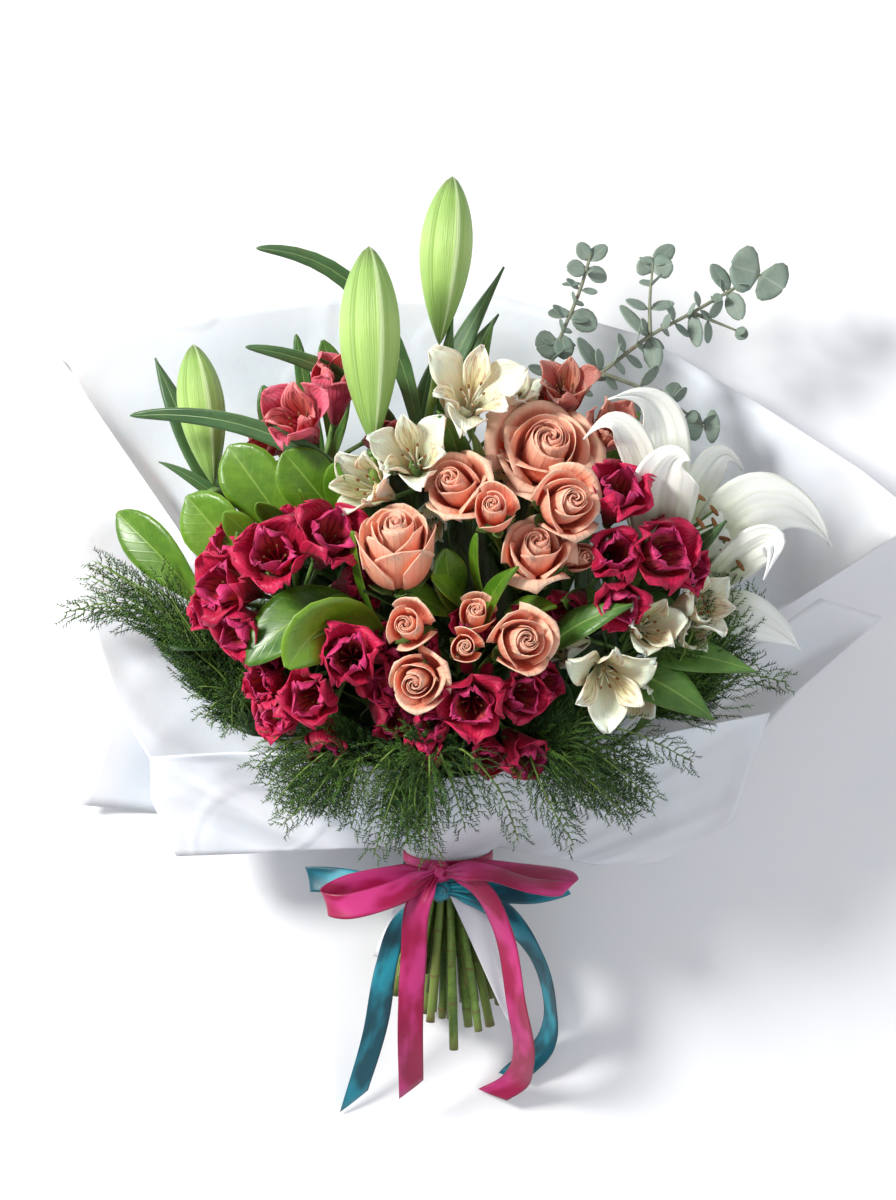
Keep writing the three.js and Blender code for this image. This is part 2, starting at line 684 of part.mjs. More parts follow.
// A leaf's foot, its tip, how far the middle of its rib bows, its width, the way it looks and how
// many lengths it is made in.
const leafRow = (outline) => (from, to, bow, width, face, along) => ({
  outline, from, to, bow, width, face, along,
});
const strap = leafRow("strap");
const lance = leafRow("lance");
const spoon = leafRow("spoon");

const LEAVES = {
  lily_stem_back: [
    strap([-16, 89, 96], [-108, 198, 118], [32, 52, 14], 13, [-0.4, -0.3, 0.85], 4),
    lance([-14, 98, 84], [32, 193, 78], [-8, -8, 6], 15, [-0.5, 0, 0.85], 4),
    lance([-13, 92, 80], [29, 165, 84], [-2, 6, 8], 13, [-0.4, 0, 0.9], 4),
    lance([-17, 88, 88], [-7, 142, 96], [-4, 0, 8], 12, [-0.4, 0, 0.9], 3),
    strap([-22, 80, 96], [-113, 141, 132], [22, 24, 12], 12, [-0.3, -0.3, 0.9], 4),
  ],
  lily_stem_left: [
    strap([-53, 65, 140], [-178, 103, 128], [10, 24, 16], 12, [-0.1, -0.3, 0.95], 4),
    lance([-124, 46, 84], [-169, 140, 80], [-6, 6, 6], 17, [0.3, 0, 0.95], 4),
    lance([-120, 48, 86], [-166, 79, 92], [0, 8, 4], 8, [0, -0.3, 0.95], 3),
  ],
  lily_stem_right: [
    lance([109, 6, 104], [153, 44, 150], [-4, -8, 10], 17, [-0.3, 0.3, 0.9], 3),
  ],
  cream_back_stem: [
    lance([2, 63, 100], [-21, 72, 178], [-12, 6, 14], 15, [-0.6, -0.1, 0.8]),
    lance([8, 57, 110], [-5, 102, 172], [8, 4, 4], 17, [0.4, -0.2, 0.9]),
    lance([17, 57, 112], [13, 92, 178], [6, -2, 6], 11, [0.5, 0, 0.86]),
    lance([0, 92, 92], [3, 159, 112], [-6, 0, 6], 11, [0.2, -0.2, 0.95]),
    lance([13, 92, 88], [26, 160, 108], [-6, 0, 6], 11, [-0.3, -0.2, 0.93]),
    lance([33, 92, 80], [38, 130, 120], [0, 0, 4], 10, [0, -0.2, 0.97]),
  ],
  cream_right_stem: [
    lance([98, -23, 94], [155, -7, 116], [0, -6, 4], 24, [0, 0.2, 0.97]),
    lance([109, -28, 112], [173, -40, 128], [-4, 6, 14], 21, [0, 0.3, 0.95]),
    lance([98, -38, 112], [149, -67, 130], [-2, 8, 14], 26, [0.1, 0.2, 0.97]),
    lance([55, -27, 140], [100, -2, 172], [-10, 4, 14], 21, [-0.2, 0.5, 0.84]),
  ],
  crimson_low_stem: [
    spoon([1, -68, 112], [-24, -76, 150], [0, 0, 6], 14, [0, -0.4, 0.9]),
    lance([28, -63, 108], [51, -72, 146], [0, 0, 8], 13, [0, -0.3, 0.95]),
  ],
  crimson_low_left_stem: [
    lance([-61, -51, 112], [-83, -75, 130], [0, 0, 6], 12, [0, -0.4, 0.9]),
  ],
  crimson_right_stem: [
    lance([90, 0, 96], [61, 0, 172], [-8, 0, 4], 15, [-0.7, 0.1, 0.7]),
    lance([110, 6, 90], [137, -23, 108], [4, 4, 8], 15, [0.4, 0.2, 0.9]),
  ],
  coral_back_left_stem: [
    strap([-73, 69, 80], [-87, 152, 96], [0, 0, 8], 11, [0, -0.2, 0.97], 4),
    spoon([-68, 75, 78], [-72, 149, 92], [10, 6, 4], 19, [0.2, 0, 0.97]),
    spoon([-92, 75, 76], [-107, 124, 80], [0, 0, 4], 16, [0, 0, 1]),
  ],
  dusty_back_right_stem: [
    lance([88, 75, 74], [111, 108, 84], [0, 4, 4], 16, [0, 0, 1]),
    lance([65, 75, 72], [41, 114, 88], [0, 0, 4], 13, [0, 0, 1]),
  ],
  greens_outer_left: [
    spoon([-135, -7, 104], [-190, 50, 92], [-2, 6, 12], 29, [-0.2, -0.2, 0.96]),
    spoon([-135, -10, 98], [-167, -23, 78], [0, 0, 8], 20, [-0.2, -0.1, 0.96]),
  ],
  greens_left: [
    spoon([-104, 7, 128], [-146, 58, 132], [-4, 6, 12], 36, [-0.25, -0.1, 0.96]),
    spoon([-82, 29, 126], [-123, 86, 130], [-4, 6, 12], 35, [-0.1, 0, 0.99]),
    spoon([-98, 22, 134], [-123, 48, 156], [-2, 4, 6], 17, [-0.3, 0, 0.95]),
    spoon([-82, 33, 136], [-104, 53, 164], [-4, 4, 4], 14, [-0.5, 0.2, 0.83]),
    strap([-111, 6, 130], [-115, 37, 170], [-6, 0, 2], 9, [-0.9, 0, 0.4]),
  ],
  greens_back_left: [
    spoon([-54, 36, 128], [-91, 82, 144], [-4, 6, 10], 33, [-0.1, 0, 0.99]),
    spoon([-55, 39, 132], [-61, 75, 162], [-6, 0, 2], 17, [-0.5, 0, 0.86]),
    spoon([-66, 45, 126], [-81, 60, 160], [-4, 0, 2], 12, [-0.4, 0.3, 0.86]),
  ],
  greens_front_left: [
    spoon([-39, -14, 148], [-110, -35, 166], [0, 36, 22], 36, [-0.35, 0.35, 0.87], 3),
    spoon([-33, -22, 140], [-86, -37, 186], [-4, 34, 20], 38, [0.1, -0.5, 0.86], 3),
    strap([-40, -9, 150], [-52, 37, 186], [-6, 0, 6], 11, [-0.8, 0, 0.6]),
    spoon([-33, -12, 140], [-64, 0, 172], [-4, 4, 8], 13, [0, 0.6, 0.8]),
  ],
  greens_centre: [
    spoon([8, -12, 142], [-1, 28, 168], [-4, 0, 8], 22, [0.5, 0, 0.86]),
    strap([22, -3, 150], [15, 36, 184], [-8, 0, 4], 11, [-0.8, 0, 0.6]),
    lance([20, -14, 156], [37, 18, 192], [-8, 4, 6], 15, [-0.7, 0.2, 0.7]),
    spoon([4, -10, 148], [-27, 4, 168], [-2, 6, 8], 20, [0, 0.5, 0.86]),
    spoon([10, -7, 146], [-9, 12, 172], [0, 8, 6], 15, [0.1, 0.5, 0.86]),
    lance([29, -11, 140], [59, -3, 168], [0, 6, 8], 16, [0.1, 0.5, 0.86]),
  ],
};

const EUCALYPTUS = [
  {
    name: "eucalyptus_long",
    line: [
      [62, 97, 92], [64, 116, 90], [88, 131, 84], [117, 153, 78], [142, 167, 72], [164, 180, 68],
      [182, 190, 66],
    ],
    twigs: [
      [[117, 153, 78], [117, 174, 76], [119, 196, 74]],
      [[142, 167, 72], [155, 162, 70], [168, 157, 68]],
      [[88, 131, 84], [111, 123, 78], [132, 113, 72], [149, 101, 68]],
    ],
    leaves: [
      { from: [181, 189, 66], to: [165, 195, 70], width: 22, face: [0, 0.2, 0.97] },
      { from: [182, 190, 66], to: [195, 181, 70], width: 20, face: [0.2, 0, 0.97] },
      { from: [164, 179, 68], to: [154, 196, 66], width: 8, face: [0.3, 0.2, 0.93] },
      { from: [165, 180, 68], to: [170, 163, 72], width: 9, face: [-0.3, 0, 0.95] },
      { from: [142, 167, 72], to: [145, 147, 74], width: 7, face: [-0.5, 0.2, 0.86] },
      { from: [116, 152, 78], to: [100, 171, 74], width: 6, face: [0.6, -0.3, 0.7] },
      { from: [116, 153, 78], to: [120, 133, 80], width: 9, face: [-0.3, 0, 0.95] },
      { from: [88, 131, 84], to: [75, 151, 86], width: 8, face: [0.5, 0.3, 0.8] },
      { from: [118, 190, 74], to: [111, 197, 76], width: 10, face: [0, 0.3, 0.95] },
      { from: [119, 191, 74], to: [130, 195, 76], width: 11, face: [0, 0.2, 0.97] },
      { from: [118, 195, 74], to: [131, 206, 72], width: 8, face: [0, 0.2, 0.97] },
      { from: [167, 157, 68], to: [174, 153, 70], width: 6, face: [0.2, 0, 0.97] },
      { from: [128, 115, 73], to: [115, 104, 76], width: 9, face: [0.3, 0.3, 0.9] },
      { from: [128, 115, 73], to: [134, 126, 70], width: 8, face: [0.3, 0.3, 0.9] },
      { from: [141, 107, 70], to: [131, 96, 72], width: 8, face: [0.3, 0.3, 0.9] },
      { from: [149, 101, 68], to: [138, 102, 72], width: 14, face: [0, 0.2, 0.97] },
      { from: [149, 101, 68], to: [158, 101, 70], width: 15, face: [0.1, 0.1, 0.98] },
    ],
  },
  {
    name: "eucalyptus_short",
    line: [[56, 93, 78], [57, 116, 80], [61, 141, 80], [68, 159, 78], [76, 178, 76], [83, 201, 74]],
    twigs: [],
    leaves: [
      { from: [82, 197, 74], to: [76, 207, 76], width: 7, face: [0, 0.3, 0.95] },
      { from: [83, 198, 74], to: [92, 206, 72], width: 7, face: [0, 0.3, 0.95] },
      { from: [81, 192, 75], to: [69, 192, 78], width: 9, face: [0, 0.4, 0.9] },
      { from: [81, 191, 75], to: [92, 186, 73], width: 8, face: [0, 0.4, 0.9] },
      { from: [78, 181, 76], to: [66, 183, 76], width: 3.5, face: [0, 0.8, 0.6] },
      { from: [73, 167, 77], to: [58, 166, 78], width: 6, face: [0, 0.5, 0.86] },
      { from: [73, 167, 77], to: [86, 158, 76], width: 11, face: [0, 0.3, 0.95] },
      { from: [65, 150, 79], to: [51, 146, 82], width: 13, face: [0, 0.2, 0.97] },
      { from: [65, 153, 79], to: [68, 139, 84], width: 9, face: [0, 0.2, 0.97] },
    ],
  },
];

// Feathery fronds: each one's twigs, from the top of its stem
const FERNS = [
  {
    name: "fern_left",
    top: [-125, -61, 74],
    twigs: [
      [[-154, -23, 84], [-187, -2, 84], [-222, -7, 74]],
      [[-156, -15, 92], [-183, 10, 94], [-203, 22, 86]],
      [[-138, -28, 100], [-154, -3, 112], [-163, 17, 112]],
      [[-127, -57, 96], [-133, -59, 102], [-138, -66, 98]],
      [[-118, -51, 110], [-121, -56, 120], [-122, -71, 112]],
    ],
  },
  {
    name: "fern_low_left",
    top: [-56, -80, 122],
    twigs: [
      [[-67, -74, 146], [-89, -78, 148], [-108, -94, 134]],
      [[-64, -82, 150], [-82, -96, 150], [-97, -114, 132]],
      [[-59, -86, 154], [-72, -105, 152], [-93, -126, 130]],
      [[-49, -88, 158], [-53, -103, 156], [-58, -118, 144]],
    ],
  },
  {
    name: "fern_low",
    top: [-10, -82, 128],
    twigs: [
      [[-21, -85, 158], [-31, -109, 160], [-41, -141, 142]],
      [[-10, -87, 162], [-10, -113, 162], [-10, -143, 144]],
      [[-28, -81, 158], [-44, -98, 156], [-54, -127, 138]],
      [[8, -82, 162], [28, -104, 158], [39, -133, 142]],
    ],
  },
  {
    name: "fern_low_right",
    top: [45, -80, 120],
    twigs: [
      [[45, -86, 154], [54, -108, 156], [70, -136, 138]],
      [[59, -84, 152], [78, -100, 150], [102, -123, 128]],
      [[68, -78, 150], [92, -92, 146], [116, -114, 124]],
      [[73, -68, 148], [101, -73, 144], [138, -91, 120]],
    ],
  },
  {
    name: "fern_right",
    top: [123, -64, 88],
    twigs: [
      [[146, -57, 112], [167, -43, 112], [193, -47, 100]],
      [[139, -34, 120], [153, -6, 126], [157, 20, 118]],
      [[149, -40, 112], [165, -17, 110], [176, 5, 100]],
      [[130, -34, 126], [138, -13, 134], [142, 7, 128]],
    ],
  },
];

const STEMS = [
  { name: "lily_stem_back", radius: STEM.lily, top: [-17, 84, 84], below: 98 },
  { name: "lily_stem_left", radius: STEM.lily, top: [-118, 41, 76], below: 84 },
  { name: "lily_stem_right", radius: STEM.lily, top: [117, -12, 74], below: 92 },
  { name: "rose_front_stem", radius: STEM.rose, top: [-27, 10, 158], below: 112 },
  { name: "rose_back_stem", radius: STEM.rose, top: [51, 73, 128], below: 101 },
  { name: "spray_rose_high_stem", radius: STEM.spray, top: [36, 23, 108], below: 103 },
  { name: "spray_rose_low_stem", radius: STEM.spray, top: [6, -38, 112], below: 96 },
  ...UMBELS.map(({ name, hub }, k) => ({
    name: name + "_stem",
    radius: STEM.alstroemeria,
    top: hub,
    below: UMBEL_BELOW[k],
  })),
  { name: "greens_outer_left", radius: STEM.leafy, top: [-134, -9, 92], below: 70 },
  { name: "greens_left", radius: STEM.leafy, top: [-95, 16, 108], below: 88 },
  { name: "greens_back_left", radius: STEM.leafy, top: [-55, 34, 112], below: 80 },
  { name: "greens_front_left", radius: STEM.leafy, top: [-36, -22, 128], below: 90 },
  { name: "greens_centre", radius: STEM.leafy, top: [15, -16, 130], below: 74 },
  ...EUCALYPTUS.map(({ name, line }) => ({ name, radius: STEM.eucalyptus, top: line[0], below: 92 })),
  ...FERNS.map(({ name, top }) => ({ name, radius: STEM.fern, top, below: 60 })),
].map((stem) => ({ ...stem, top: vec(stem.top) }));

const LEAF_STEP = 6; // from one leaf to the next down a stem, at least
const PEDICEL_STEP = 6; // the same for the pedicels of a spray
const ON_ITS_END = 9; // a bloom this near to the top of a stem sits on its end

// The wrap, the binding and the ribbons

const WRAPS = [
  {
    name: "wrap_back",
    ring: 24.4,
    front: false,
    rim: [
      [261, 38, 78], [264, 55, 80], [241, 76, 66], [185, 116, 40], [115, 159, 24], [31, 184, 14],
      [-71, 186, 14], [-161, 173, 16], [-241, 156, 20], [-144, 16, 16], [-174, -24, 12], [-201, -66, 12],
      [-222, -124, 10],
    ],
  },
  {
    name: "wrap_left",
    ring: 22.6,
    front: false,
    rim: [
      [-174, 44, 60], [-224, 60, 58], [-220, 24, 52], [-210, -18, 48], [-196, -62, 50], [-175, -94, 54],
      [-160, -147, 52],
    ],
  },
  {
    name: "wrap_right",
    ring: 22.6,
    front: false,
    rim: [
      [119, -152, 48], [161, -127, 50], [183, -79, 56], [206, -53, 58], [256, -10, 54], [217, 1, 64],
    ],
  },
  {
    name: "wrap_collar",
    ring: 24.4,
    front: true,
    rim: [
      [89, -156, 54], [124, -154, 60], [167, -129, 66], [176, -97, 74], [186, -65, 82], [132, -74, 104],
      [80, -85, 124], [40, -94, 138], [0, -99, 142], [-38, -93, 138], [-78, -87, 122], [-122, -87, 94],
      [-173, -91, 74], [-173, -116, 68], [-159, -150, 62],
    ],
    tails: [
      { from: 18, to: 78, ends: [[41, -207, 46], [38, -254, 44], [29, -236, 50], [9, -190, 60]] },
      { from: 148, to: 176, ends: [[-31, -199, 40], [-42, -216, 30], [-49, -208, 26]] },
    ],
  },
];
const WRAP_ROWS = 4;
const WRAP_COLUMN = 24; // widest step between two columns of a sheet, in degrees
const NECK = 9; // the wrap runs this far below and above the middle of the tie
const HEM = 3; // and ends this far below that, where it has no tail
const COLLAR_BULGE = 5; // how far the middle of the collar stands proud
const SIDE_SAG = 7; // how far the middle of a side sheet hangs
const FLAT_FROM = 0.2; // the back sheet lies on the table between these shares of its reach
const FLAT_TO = 0.75;

// The point of a sheet at the neck, seen at an angle round the tie: 90 is towards the flowers.
function neckPoint(angle, ring, front, height) {
  const turn = THREE.MathUtils.degToRad(angle);
  return TIE.clone()
    .addScaledVector(ALONG, height)
    .addScaledVector(RIGHT, ring * Math.cos(turn))
    .addScaledVector(FRONT, (front ? 1 : -1) * ring * Math.sin(turn));
}

// The rim of a sheet with a column wherever it turns and at least one every WRAP_COLUMN degrees.
function rimColumns(rim) {
  const points = rim.map(vec);
  const angle = (p) => THREE.MathUtils.radToDeg(Math.atan2(Math.max(0, p.y - TIE.y), p.x));
  return points.flatMap((p, k) => {
    if (k === points.length - 1) return [{ point: p, angle: angle(p) }];
    const next = points[k + 1];
    const parts = Math.max(1, Math.ceil(Math.abs(angle(next) - angle(p)) / WRAP_COLUMN));
    return Array.from({ length: parts }, (_, part) => {
      const point = p.clone().lerp(next, part / parts);
      return { point, angle: lerp(angle(p), angle(next), part / parts) };
    });
  });
}

// How high a sheet stands at a share of its reach.
function wrapHeight(front, start, end, share) {
  if (front) return lerp(start, end, share) + COLLAR_BULGE * Math.sin(Math.PI * share);
  const down = start * Math.max(0, 1 - share / FLAT_FROM);
  const up = end * THREE.MathUtils.smoothstep(share, FLAT_TO, 1);
  return Math.max(PAPER / 2, down, up);
}

// Where a sheet ends below the tie: on a tail where it has one there, or just under the neck.
function hem(angle, ring, front, tails) {
  const tail = tails.find(({ from, to }) => angle >= from && angle <= to);
  if (!tail) return neckPoint(angle, ring, front, -NECK - HEM);
  const place = ((angle - tail.from) / (tail.to - tail.from)) * (tail.ends.length - 1);
  const k = Math.min(Math.floor(place), tail.ends.length - 2);
  return vec(tail.ends[k]).lerp(vec(tail.ends[k + 1]), place - k);
}

// A sheet of the wrap, from its hem through the neck out to its rim.
function wrapSheet({ name, ring, front, rim, tails = [] }, grow) {
  const columns = rimColumns(rim);
  const rows = WRAP_ROWS + 2;
  const surface = (u, v) => {
    const { point, angle } = columns[Math.round(((u + 1) / 2) * (columns.length - 1))];
    const row = Math.round(v * rows);
    if (row === 0) return hem(angle, ring, front, tails);
    if (row === 1) return neckPoint(angle, ring, front, -NECK);
    const start = neckPoint(angle, ring, front, NECK);
    const share = (row - 2) / WRAP_ROWS;
    const place = start.clone().lerp(point, share);
    if (name === "wrap_left" || name === "wrap_right") place.z -= SIDE_SAG * Math.sin(Math.PI * share);
    else place.z = wrapHeight(front, start.z, point.z, share);
    return place;
  };
  return [blade(surface, columns.length - 1, rows, PAPER, grow)];
}

// A flat hoop round the tie.
function hoop(inner, thickness, width, height, grow) {
  const [low, high] = [-width / 2 - grow, width / 2 + grow];
  const inside = (inner - grow) / Math.cos(Math.PI / HOOP_SIDES);
  const outside = inside + thickness + 2 * grow;
  const outline = [
    [inside, low],
    [outside, low],
    [outside, high],
    [inside, high],
    [inside, low],
  ].map(([x, y]) => new THREE.Vector2(x, y));
  const geometry = new THREE.LatheGeometry(outline, HOOP_SIDES);
  const turn = new THREE.Quaternion().setFromUnitVectors(new THREE.Vector3(0, 1, 0), ALONG);
  geometry.applyMatrix4(new THREE.Matrix4().makeRotationFromQuaternion(turn));
  const centre = TIE.clone().addScaledVector(ALONG, height);
  geometry.translate(centre.x, centre.y, centre.z);
  return toSolid(geometry);
}

// Each run of a ribbon, by the points that its middle passes and which way its width lies there.
const RIBBON_WIDTH = 15;
const GATHERED = 6; // its width where it is gathered in the knot
const KNOT = [7, 6, 6]; // half its width, its height and its depth
const KNOT_REACH = 10; // the ribbon is gathered this near to the middle of its knot
const RIBBONS = [
  {
    name: "ribbon_magenta",
    look: "magenta",
    height: 4,
    knot: [-5, -158, 72],
    runs: [
      [
        { at: [-7, -158, 75], width: [0, -1, 0.1] },
        { at: [-32, -169, 90], width: [0.3, -0.9, 0.3] },
        { at: [-60, -176, 92], width: [0.35, -0.9, 0.1] },
        { at: [-71, -174, 84], width: [0.3, -0.95, 0] },
        { at: [-59, -167, 76], width: [0.3, -0.9, -0.2] },
        { at: [-28, -161, 73], width: [0.1, -1, 0] },
        { at: [-8, -158, 72], width: [0, -1, 0] },
      ],
      [
        { at: [-2, -158, 76], width: [0, -0.9, 0.3] },
        { at: [21, -156, 90], width: [0.1, -0.6, 0.8] },
        { at: [49, -163, 98], width: [0, -0.5, 0.87] },
        { at: [70, -165, 90], width: [-0.6, -0.5, 0.6] },
        { at: [68, -160, 82], width: [-0.5, -0.4, 0.75] },
        { at: [39, -157, 77], width: [0, -0.6, 0.8] },
        { at: [-1, -158, 73], width: [0, -1, 0] },
      ],
      [
        { at: [-7, -159, 75], width: [1, 0, 0] },
        { at: [-17, -175, 84], width: [1, 0, 0] },
        { at: [-20, -208, 76], width: [1, 0, 0] },
        { at: [-22, -246, 60], width: [1, 0, 0] },
        { at: [-22, -293, 26], width: [1, 0.2, 0] },
      ],
      [
        { at: [-2, -158, 75], width: [0.9, -0.2, 0.3] },
        { at: [18, -166, 84], width: [0.7, 0.3, 0.6] },
        { at: [32, -193, 78], width: [0.7, 0.2, 0.7] },
        { at: [40, -235, 66], width: [0.7, 0.2, 0.66] },
        { at: [45, -268, 42], width: [0.8, -0.1, 0.5] },
        { at: [40, -290, 16], width: [0.8, -0.4, 0.3] },
        { at: [27, -300, 6], width: [0.6, -0.8, 0] },
      ],
    ],
  },
  {
    name: "ribbon_teal",
    look: "teal",
    height: -4,
    knot: [-5, -169, 70],
    runs: [
      [
        { at: [-7, -168, 71], width: [0, -1, 0.2] },
        { at: [-33, -168, 67], width: [0, -0.9, 0.4] },
        { at: [-63, -164, 61], width: [0.1, -0.9, 0.3] },
        { at: [-82, -164, 55], width: [0.2, -1, 0] },
        { at: [-65, -166, 49], width: [0.1, -0.9, -0.2] },
        { at: [-32, -170, 55], width: [0, -0.9, 0.2] },
        { at: [-7, -169, 68], width: [0, -1, 0.2] },
      ],
      [
        { at: [-2, -168, 71], width: [0, -1, 0.2] },
        { at: [24, -169, 68], width: [0, -0.9, 0.4] },
        { at: [53, -170, 64], width: [0, -0.9, 0.5] },
        { at: [68, -166, 58], width: [0.5, -0.8, 0.3] },
        { at: [54, -168, 52], width: [0.2, -0.8, 0.4] },
        { at: [25, -170, 57], width: [0, -0.9, 0.3] },
        { at: [-2, -169, 68], width: [0, -1, 0.2] },
      ],
      [
        { at: [-7, -169, 70], width: [0.9, 0, 0.2] },
        { at: [-26, -183, 68], width: [0.8, 0.4, 0.3] },
        { at: [-36, -213, 58], width: [0.85, 0.2, 0.4] },
        { at: [-43, -254, 34], width: [1, 0.2, 0] },
        { at: [-57, -304, 5], width: [1, 0.3, 0] },
      ],
      [
        { at: [-2, -169, 70], width: [0.9, 0, 0.2] },
        { at: [27, -179, 68], width: [0.8, 0.5, 0.3] },
        { at: [52, -209, 54], width: [0.5, 0.2, 0.84] },
        { at: [61, -240, 34], width: [0.45, 0.1, 0.9] },
        { at: [58, -268, 14], width: [0.7, -0.3, 0.6] },
        { at: [39, -289, 5], width: [0.6, -0.8, 0] },
      ],
    ],
  },
];

// A ribbon: its band round the tie, its knot, and its loops and tails.
function ribbon({ height, knot: at, runs }, grow) {
  const solids = [
    hoop(BAND.inner, BAND.thickness, BAND.width / 2, height, grow),
    knob(vec(at), FRONT, KNOT, grow, 6, 4),
  ];
  for (const run of runs) {
    const line = new THREE.CatmullRomCurve3(run.map(({ at: middle }) => vec(middle)));
    const sides = new THREE.CatmullRomCurve3(run.map(({ width }) => vec(width).normalize()));
    const surface = (u, v) => {
      const gathered = line.getPoint(v).distanceTo(vec(at)) < KNOT_REACH ? GATHERED : RIBBON_WIDTH;
      return line.getPoint(v).addScaledVector(sides.getPoint(v).normalize(), (u * gathered) / 2);
    };
    solids.push(blade(surface, 1, run.length, SATIN, grow));
  }
  return solids;
}

// Fronds and sprays

const TWIG_STEP = 6;
const NEEDLE = { radius: 0.55, step: 16, longest: 22, shortest: 11, bare: 26 };

// The bent twigs of a feathery frond, a step apart down the end of its stem.
function twigLines({ twigs }, stem) {
  return twigs.map((points, k) => [backFrom(stem, 2 + TWIG_STEP * k), ...points.map(vec)]);
}

// The needles of a frond, out to both sides of each twig and out to its tip.
function needles(lines, seed, grow) {
  const draw = draws(seed);
  return lines.flatMap((points) => {
    const line = new THREE.CatmullRomCurve3(points, false, "centripetal");
    const length = line.getLength();
    const count = Math.floor((length - NEEDLE.bare) / NEEDLE.step) + 1;
    return Array.from({ length: count }, (_, k) => {
      const share = (NEEDLE.bare + k * NEEDLE.step) / length;
      const [from, along] = [line.getPointAt(share), line.getTangentAt(share)];
      const side = along.clone().cross(UP).normalize();
      const turn = (k % 2 ? Math.PI : 0) + draw(-0.7, 0.7);
      const out = side.multiplyScalar(Math.cos(turn)).addScaledVector(UP, Math.sin(turn));
      const reach = lerp(NEEDLE.longest, NEEDLE.shortest, share) * draw(0.85, 1.1);
      const to = from.clone().addScaledVector(along, 0.7 * reach).addScaledVector(out, 0.7 * reach);
      return spike(from, to, NEEDLE.radius, grow);
    });
  });
}

// Putting the pieces together

const GREEN = { roughness: 0.55, metalness: 0 };
const LOOKS = {
  peach: { color: 0xe6927a, roughness: 0.6, metalness: 0 },
  crimson: { color: 0xb80c38, roughness: 0.5, metalness: 0 },
  coral: { color: 0xc85050, roughness: 0.5, metalness: 0 },
  dusty: { color: 0x96504b, roughness: 0.6, metalness: 0 },
  cream: { color: 0xe1d7be, roughness: 0.6, metalness: 0 },
  bud: { color: 0x96be50, roughness: 0.5, metalness: 0 },
  white: { color: 0xf0efe8, roughness: 0.5, metalness: 0 },
  stem: { color: 0x5a7c28, ...GREEN },
  spoon: { color: 0x6f9c1c, ...GREEN },
  eucalyptus: { color: 0x697d6e, roughness: 0.7, metalness: 0 },
  fern: { color: 0x28501e, ...GREEN },
  paper: { color: 0xe4e8f0, roughness: 0.5, metalness: 0 },
  magenta: { color: 0xa50a50, roughness: 0.35, metalness: 0 },
  teal: { color: 0x145a69, roughness: 0.35, metalness: 0 },
  binding: { color: 0xd8d2be, roughness: 0.7, metalness: 0 },
};

packTie(STEMS);
layStems(STEMS);

// The shapes of every piece, each at its stage: where two pieces would cross, the one of the
// later stage gives way, and at the same stage the one that is listed later. A bloom keeps the
// room that its petals stand in.
const STAGE = { wrap: 0, stem: 1, twig: 2, bloom: 3, leaf: 4, needle: 5 };
const pieces = [];
const piece = (name, look, ...shapes) => pieces.push({ name, look, shapes });

// What a stem carries under its blooms: a pedicel where the bloom isn't on its end, and a calyx.
function carried(stem, grow) {
  const blooms = [...ROSES, ...LILY_BUDS, ...OPEN_LILIES].filter(({ on }) => on === stem.name);
  return blooms.flatMap((bloom, k) => {
    const facing = vec(bloom.facing ?? OPEN_LILY_FACING).normalize();
    const size = bloom.on.startsWith("lily") ? PEDICEL.lily : PEDICEL.rose;
    const tip = vec(bloom.base).addScaledVector(facing, -CLEARANCE - size.calyx[2]);
    const knot = knob(tip, facing, size.calyx, grow, 5, 3);
    if (tip.distanceTo(stem.top) < ON_ITS_END) return [knot];
    const below = tip.clone().addScaledVector(facing, -PEDICEL_STRAIGHT);
    const from = backFrom(stem.line, 1 + PEDICEL_STEP * k);
    return [knot, stalk([from, from.clone().lerp(below, 0.6), below, tip], size.radius, 3, 3, grow)];
  });
}

for (const wrap of WRAPS) {
  piece(wrap.name, "paper", { stage: STAGE.wrap, make: (grow) => wrapSheet(wrap, grow) });
}
piece("binding", "binding", {
  stage: STAGE.wrap,
  make: (grow) => [hoop(BINDING.inner, BINDING.thickness, BINDING.width, 0, grow)],
});

// A stem with its own leaves, or with the twigs and leaves of its spray or frond.
function leafyStem(stem) {
  const spray = EUCALYPTUS.find(({ name }) => name === stem.name);
  const fern = FERNS.find(({ name }) => name === stem.name);
  const line = spray ? [...stem.line, ...spray.line.slice(1).map(vec)] : stem.line;
  const steps = spray ? 11 : line.length - 1;
  const shapes = [
    {
      stage: STAGE.stem,
      make: (grow) => [stalk(line, stem.radius, 4, steps, grow), ...carried(stem, grow)],
    },
  ];
  if (spray) {
    shapes.push(
      { stage: STAGE.twig, make: (grow) => spray.twigs.map((twig) => stalk(twig.map(vec), 1.3, 4, 2, grow)) },
      { stage: STAGE.leaf, make: (grow) => spray.leaves.map((one) => leaf(roundLeaf(one, spray), grow)) },
    );
  } else if (fern) {
    const lines = twigLines(fern, line);
    shapes.push(
      { stage: STAGE.twig, make: (grow) => lines.map((points) => stalk(points, 1.1, 3, 3, grow)) },
      { stage: STAGE.needle, make: (grow) => needles(lines, FERNS.indexOf(fern) + 1, grow) },
    );
  } else if (LEAVES[stem.name]) {
    const leaves = rooted(LEAVES[stem.name], line);
    shapes.push({ stage: STAGE.leaf, make: (grow) => leaves.map((one) => leaf(one, grow)) });
  }
  const look = spray ? "eucalyptus" : fern ? "fern" : stem.name.startsWith("greens") ? "spoon" : "stem";
  piece(stem.name, look, ...shapes);
}

// The point of a set of lines that is nearest to a place, as the line and the share of it.
function nearestOn(lines, place) {
  let best = { gap: Infinity };
  for (const points of lines) {
    const curve = new THREE.CatmullRomCurve3(points, false, "centripetal");
    for (let k = 0; k <= 100; k++) {
      const gap = curve.getPointAt(k / 100).distanceTo(place);
      if (gap < best.gap) best = { gap, curve, share: k / 100 };
    }
  }
  return best;
}

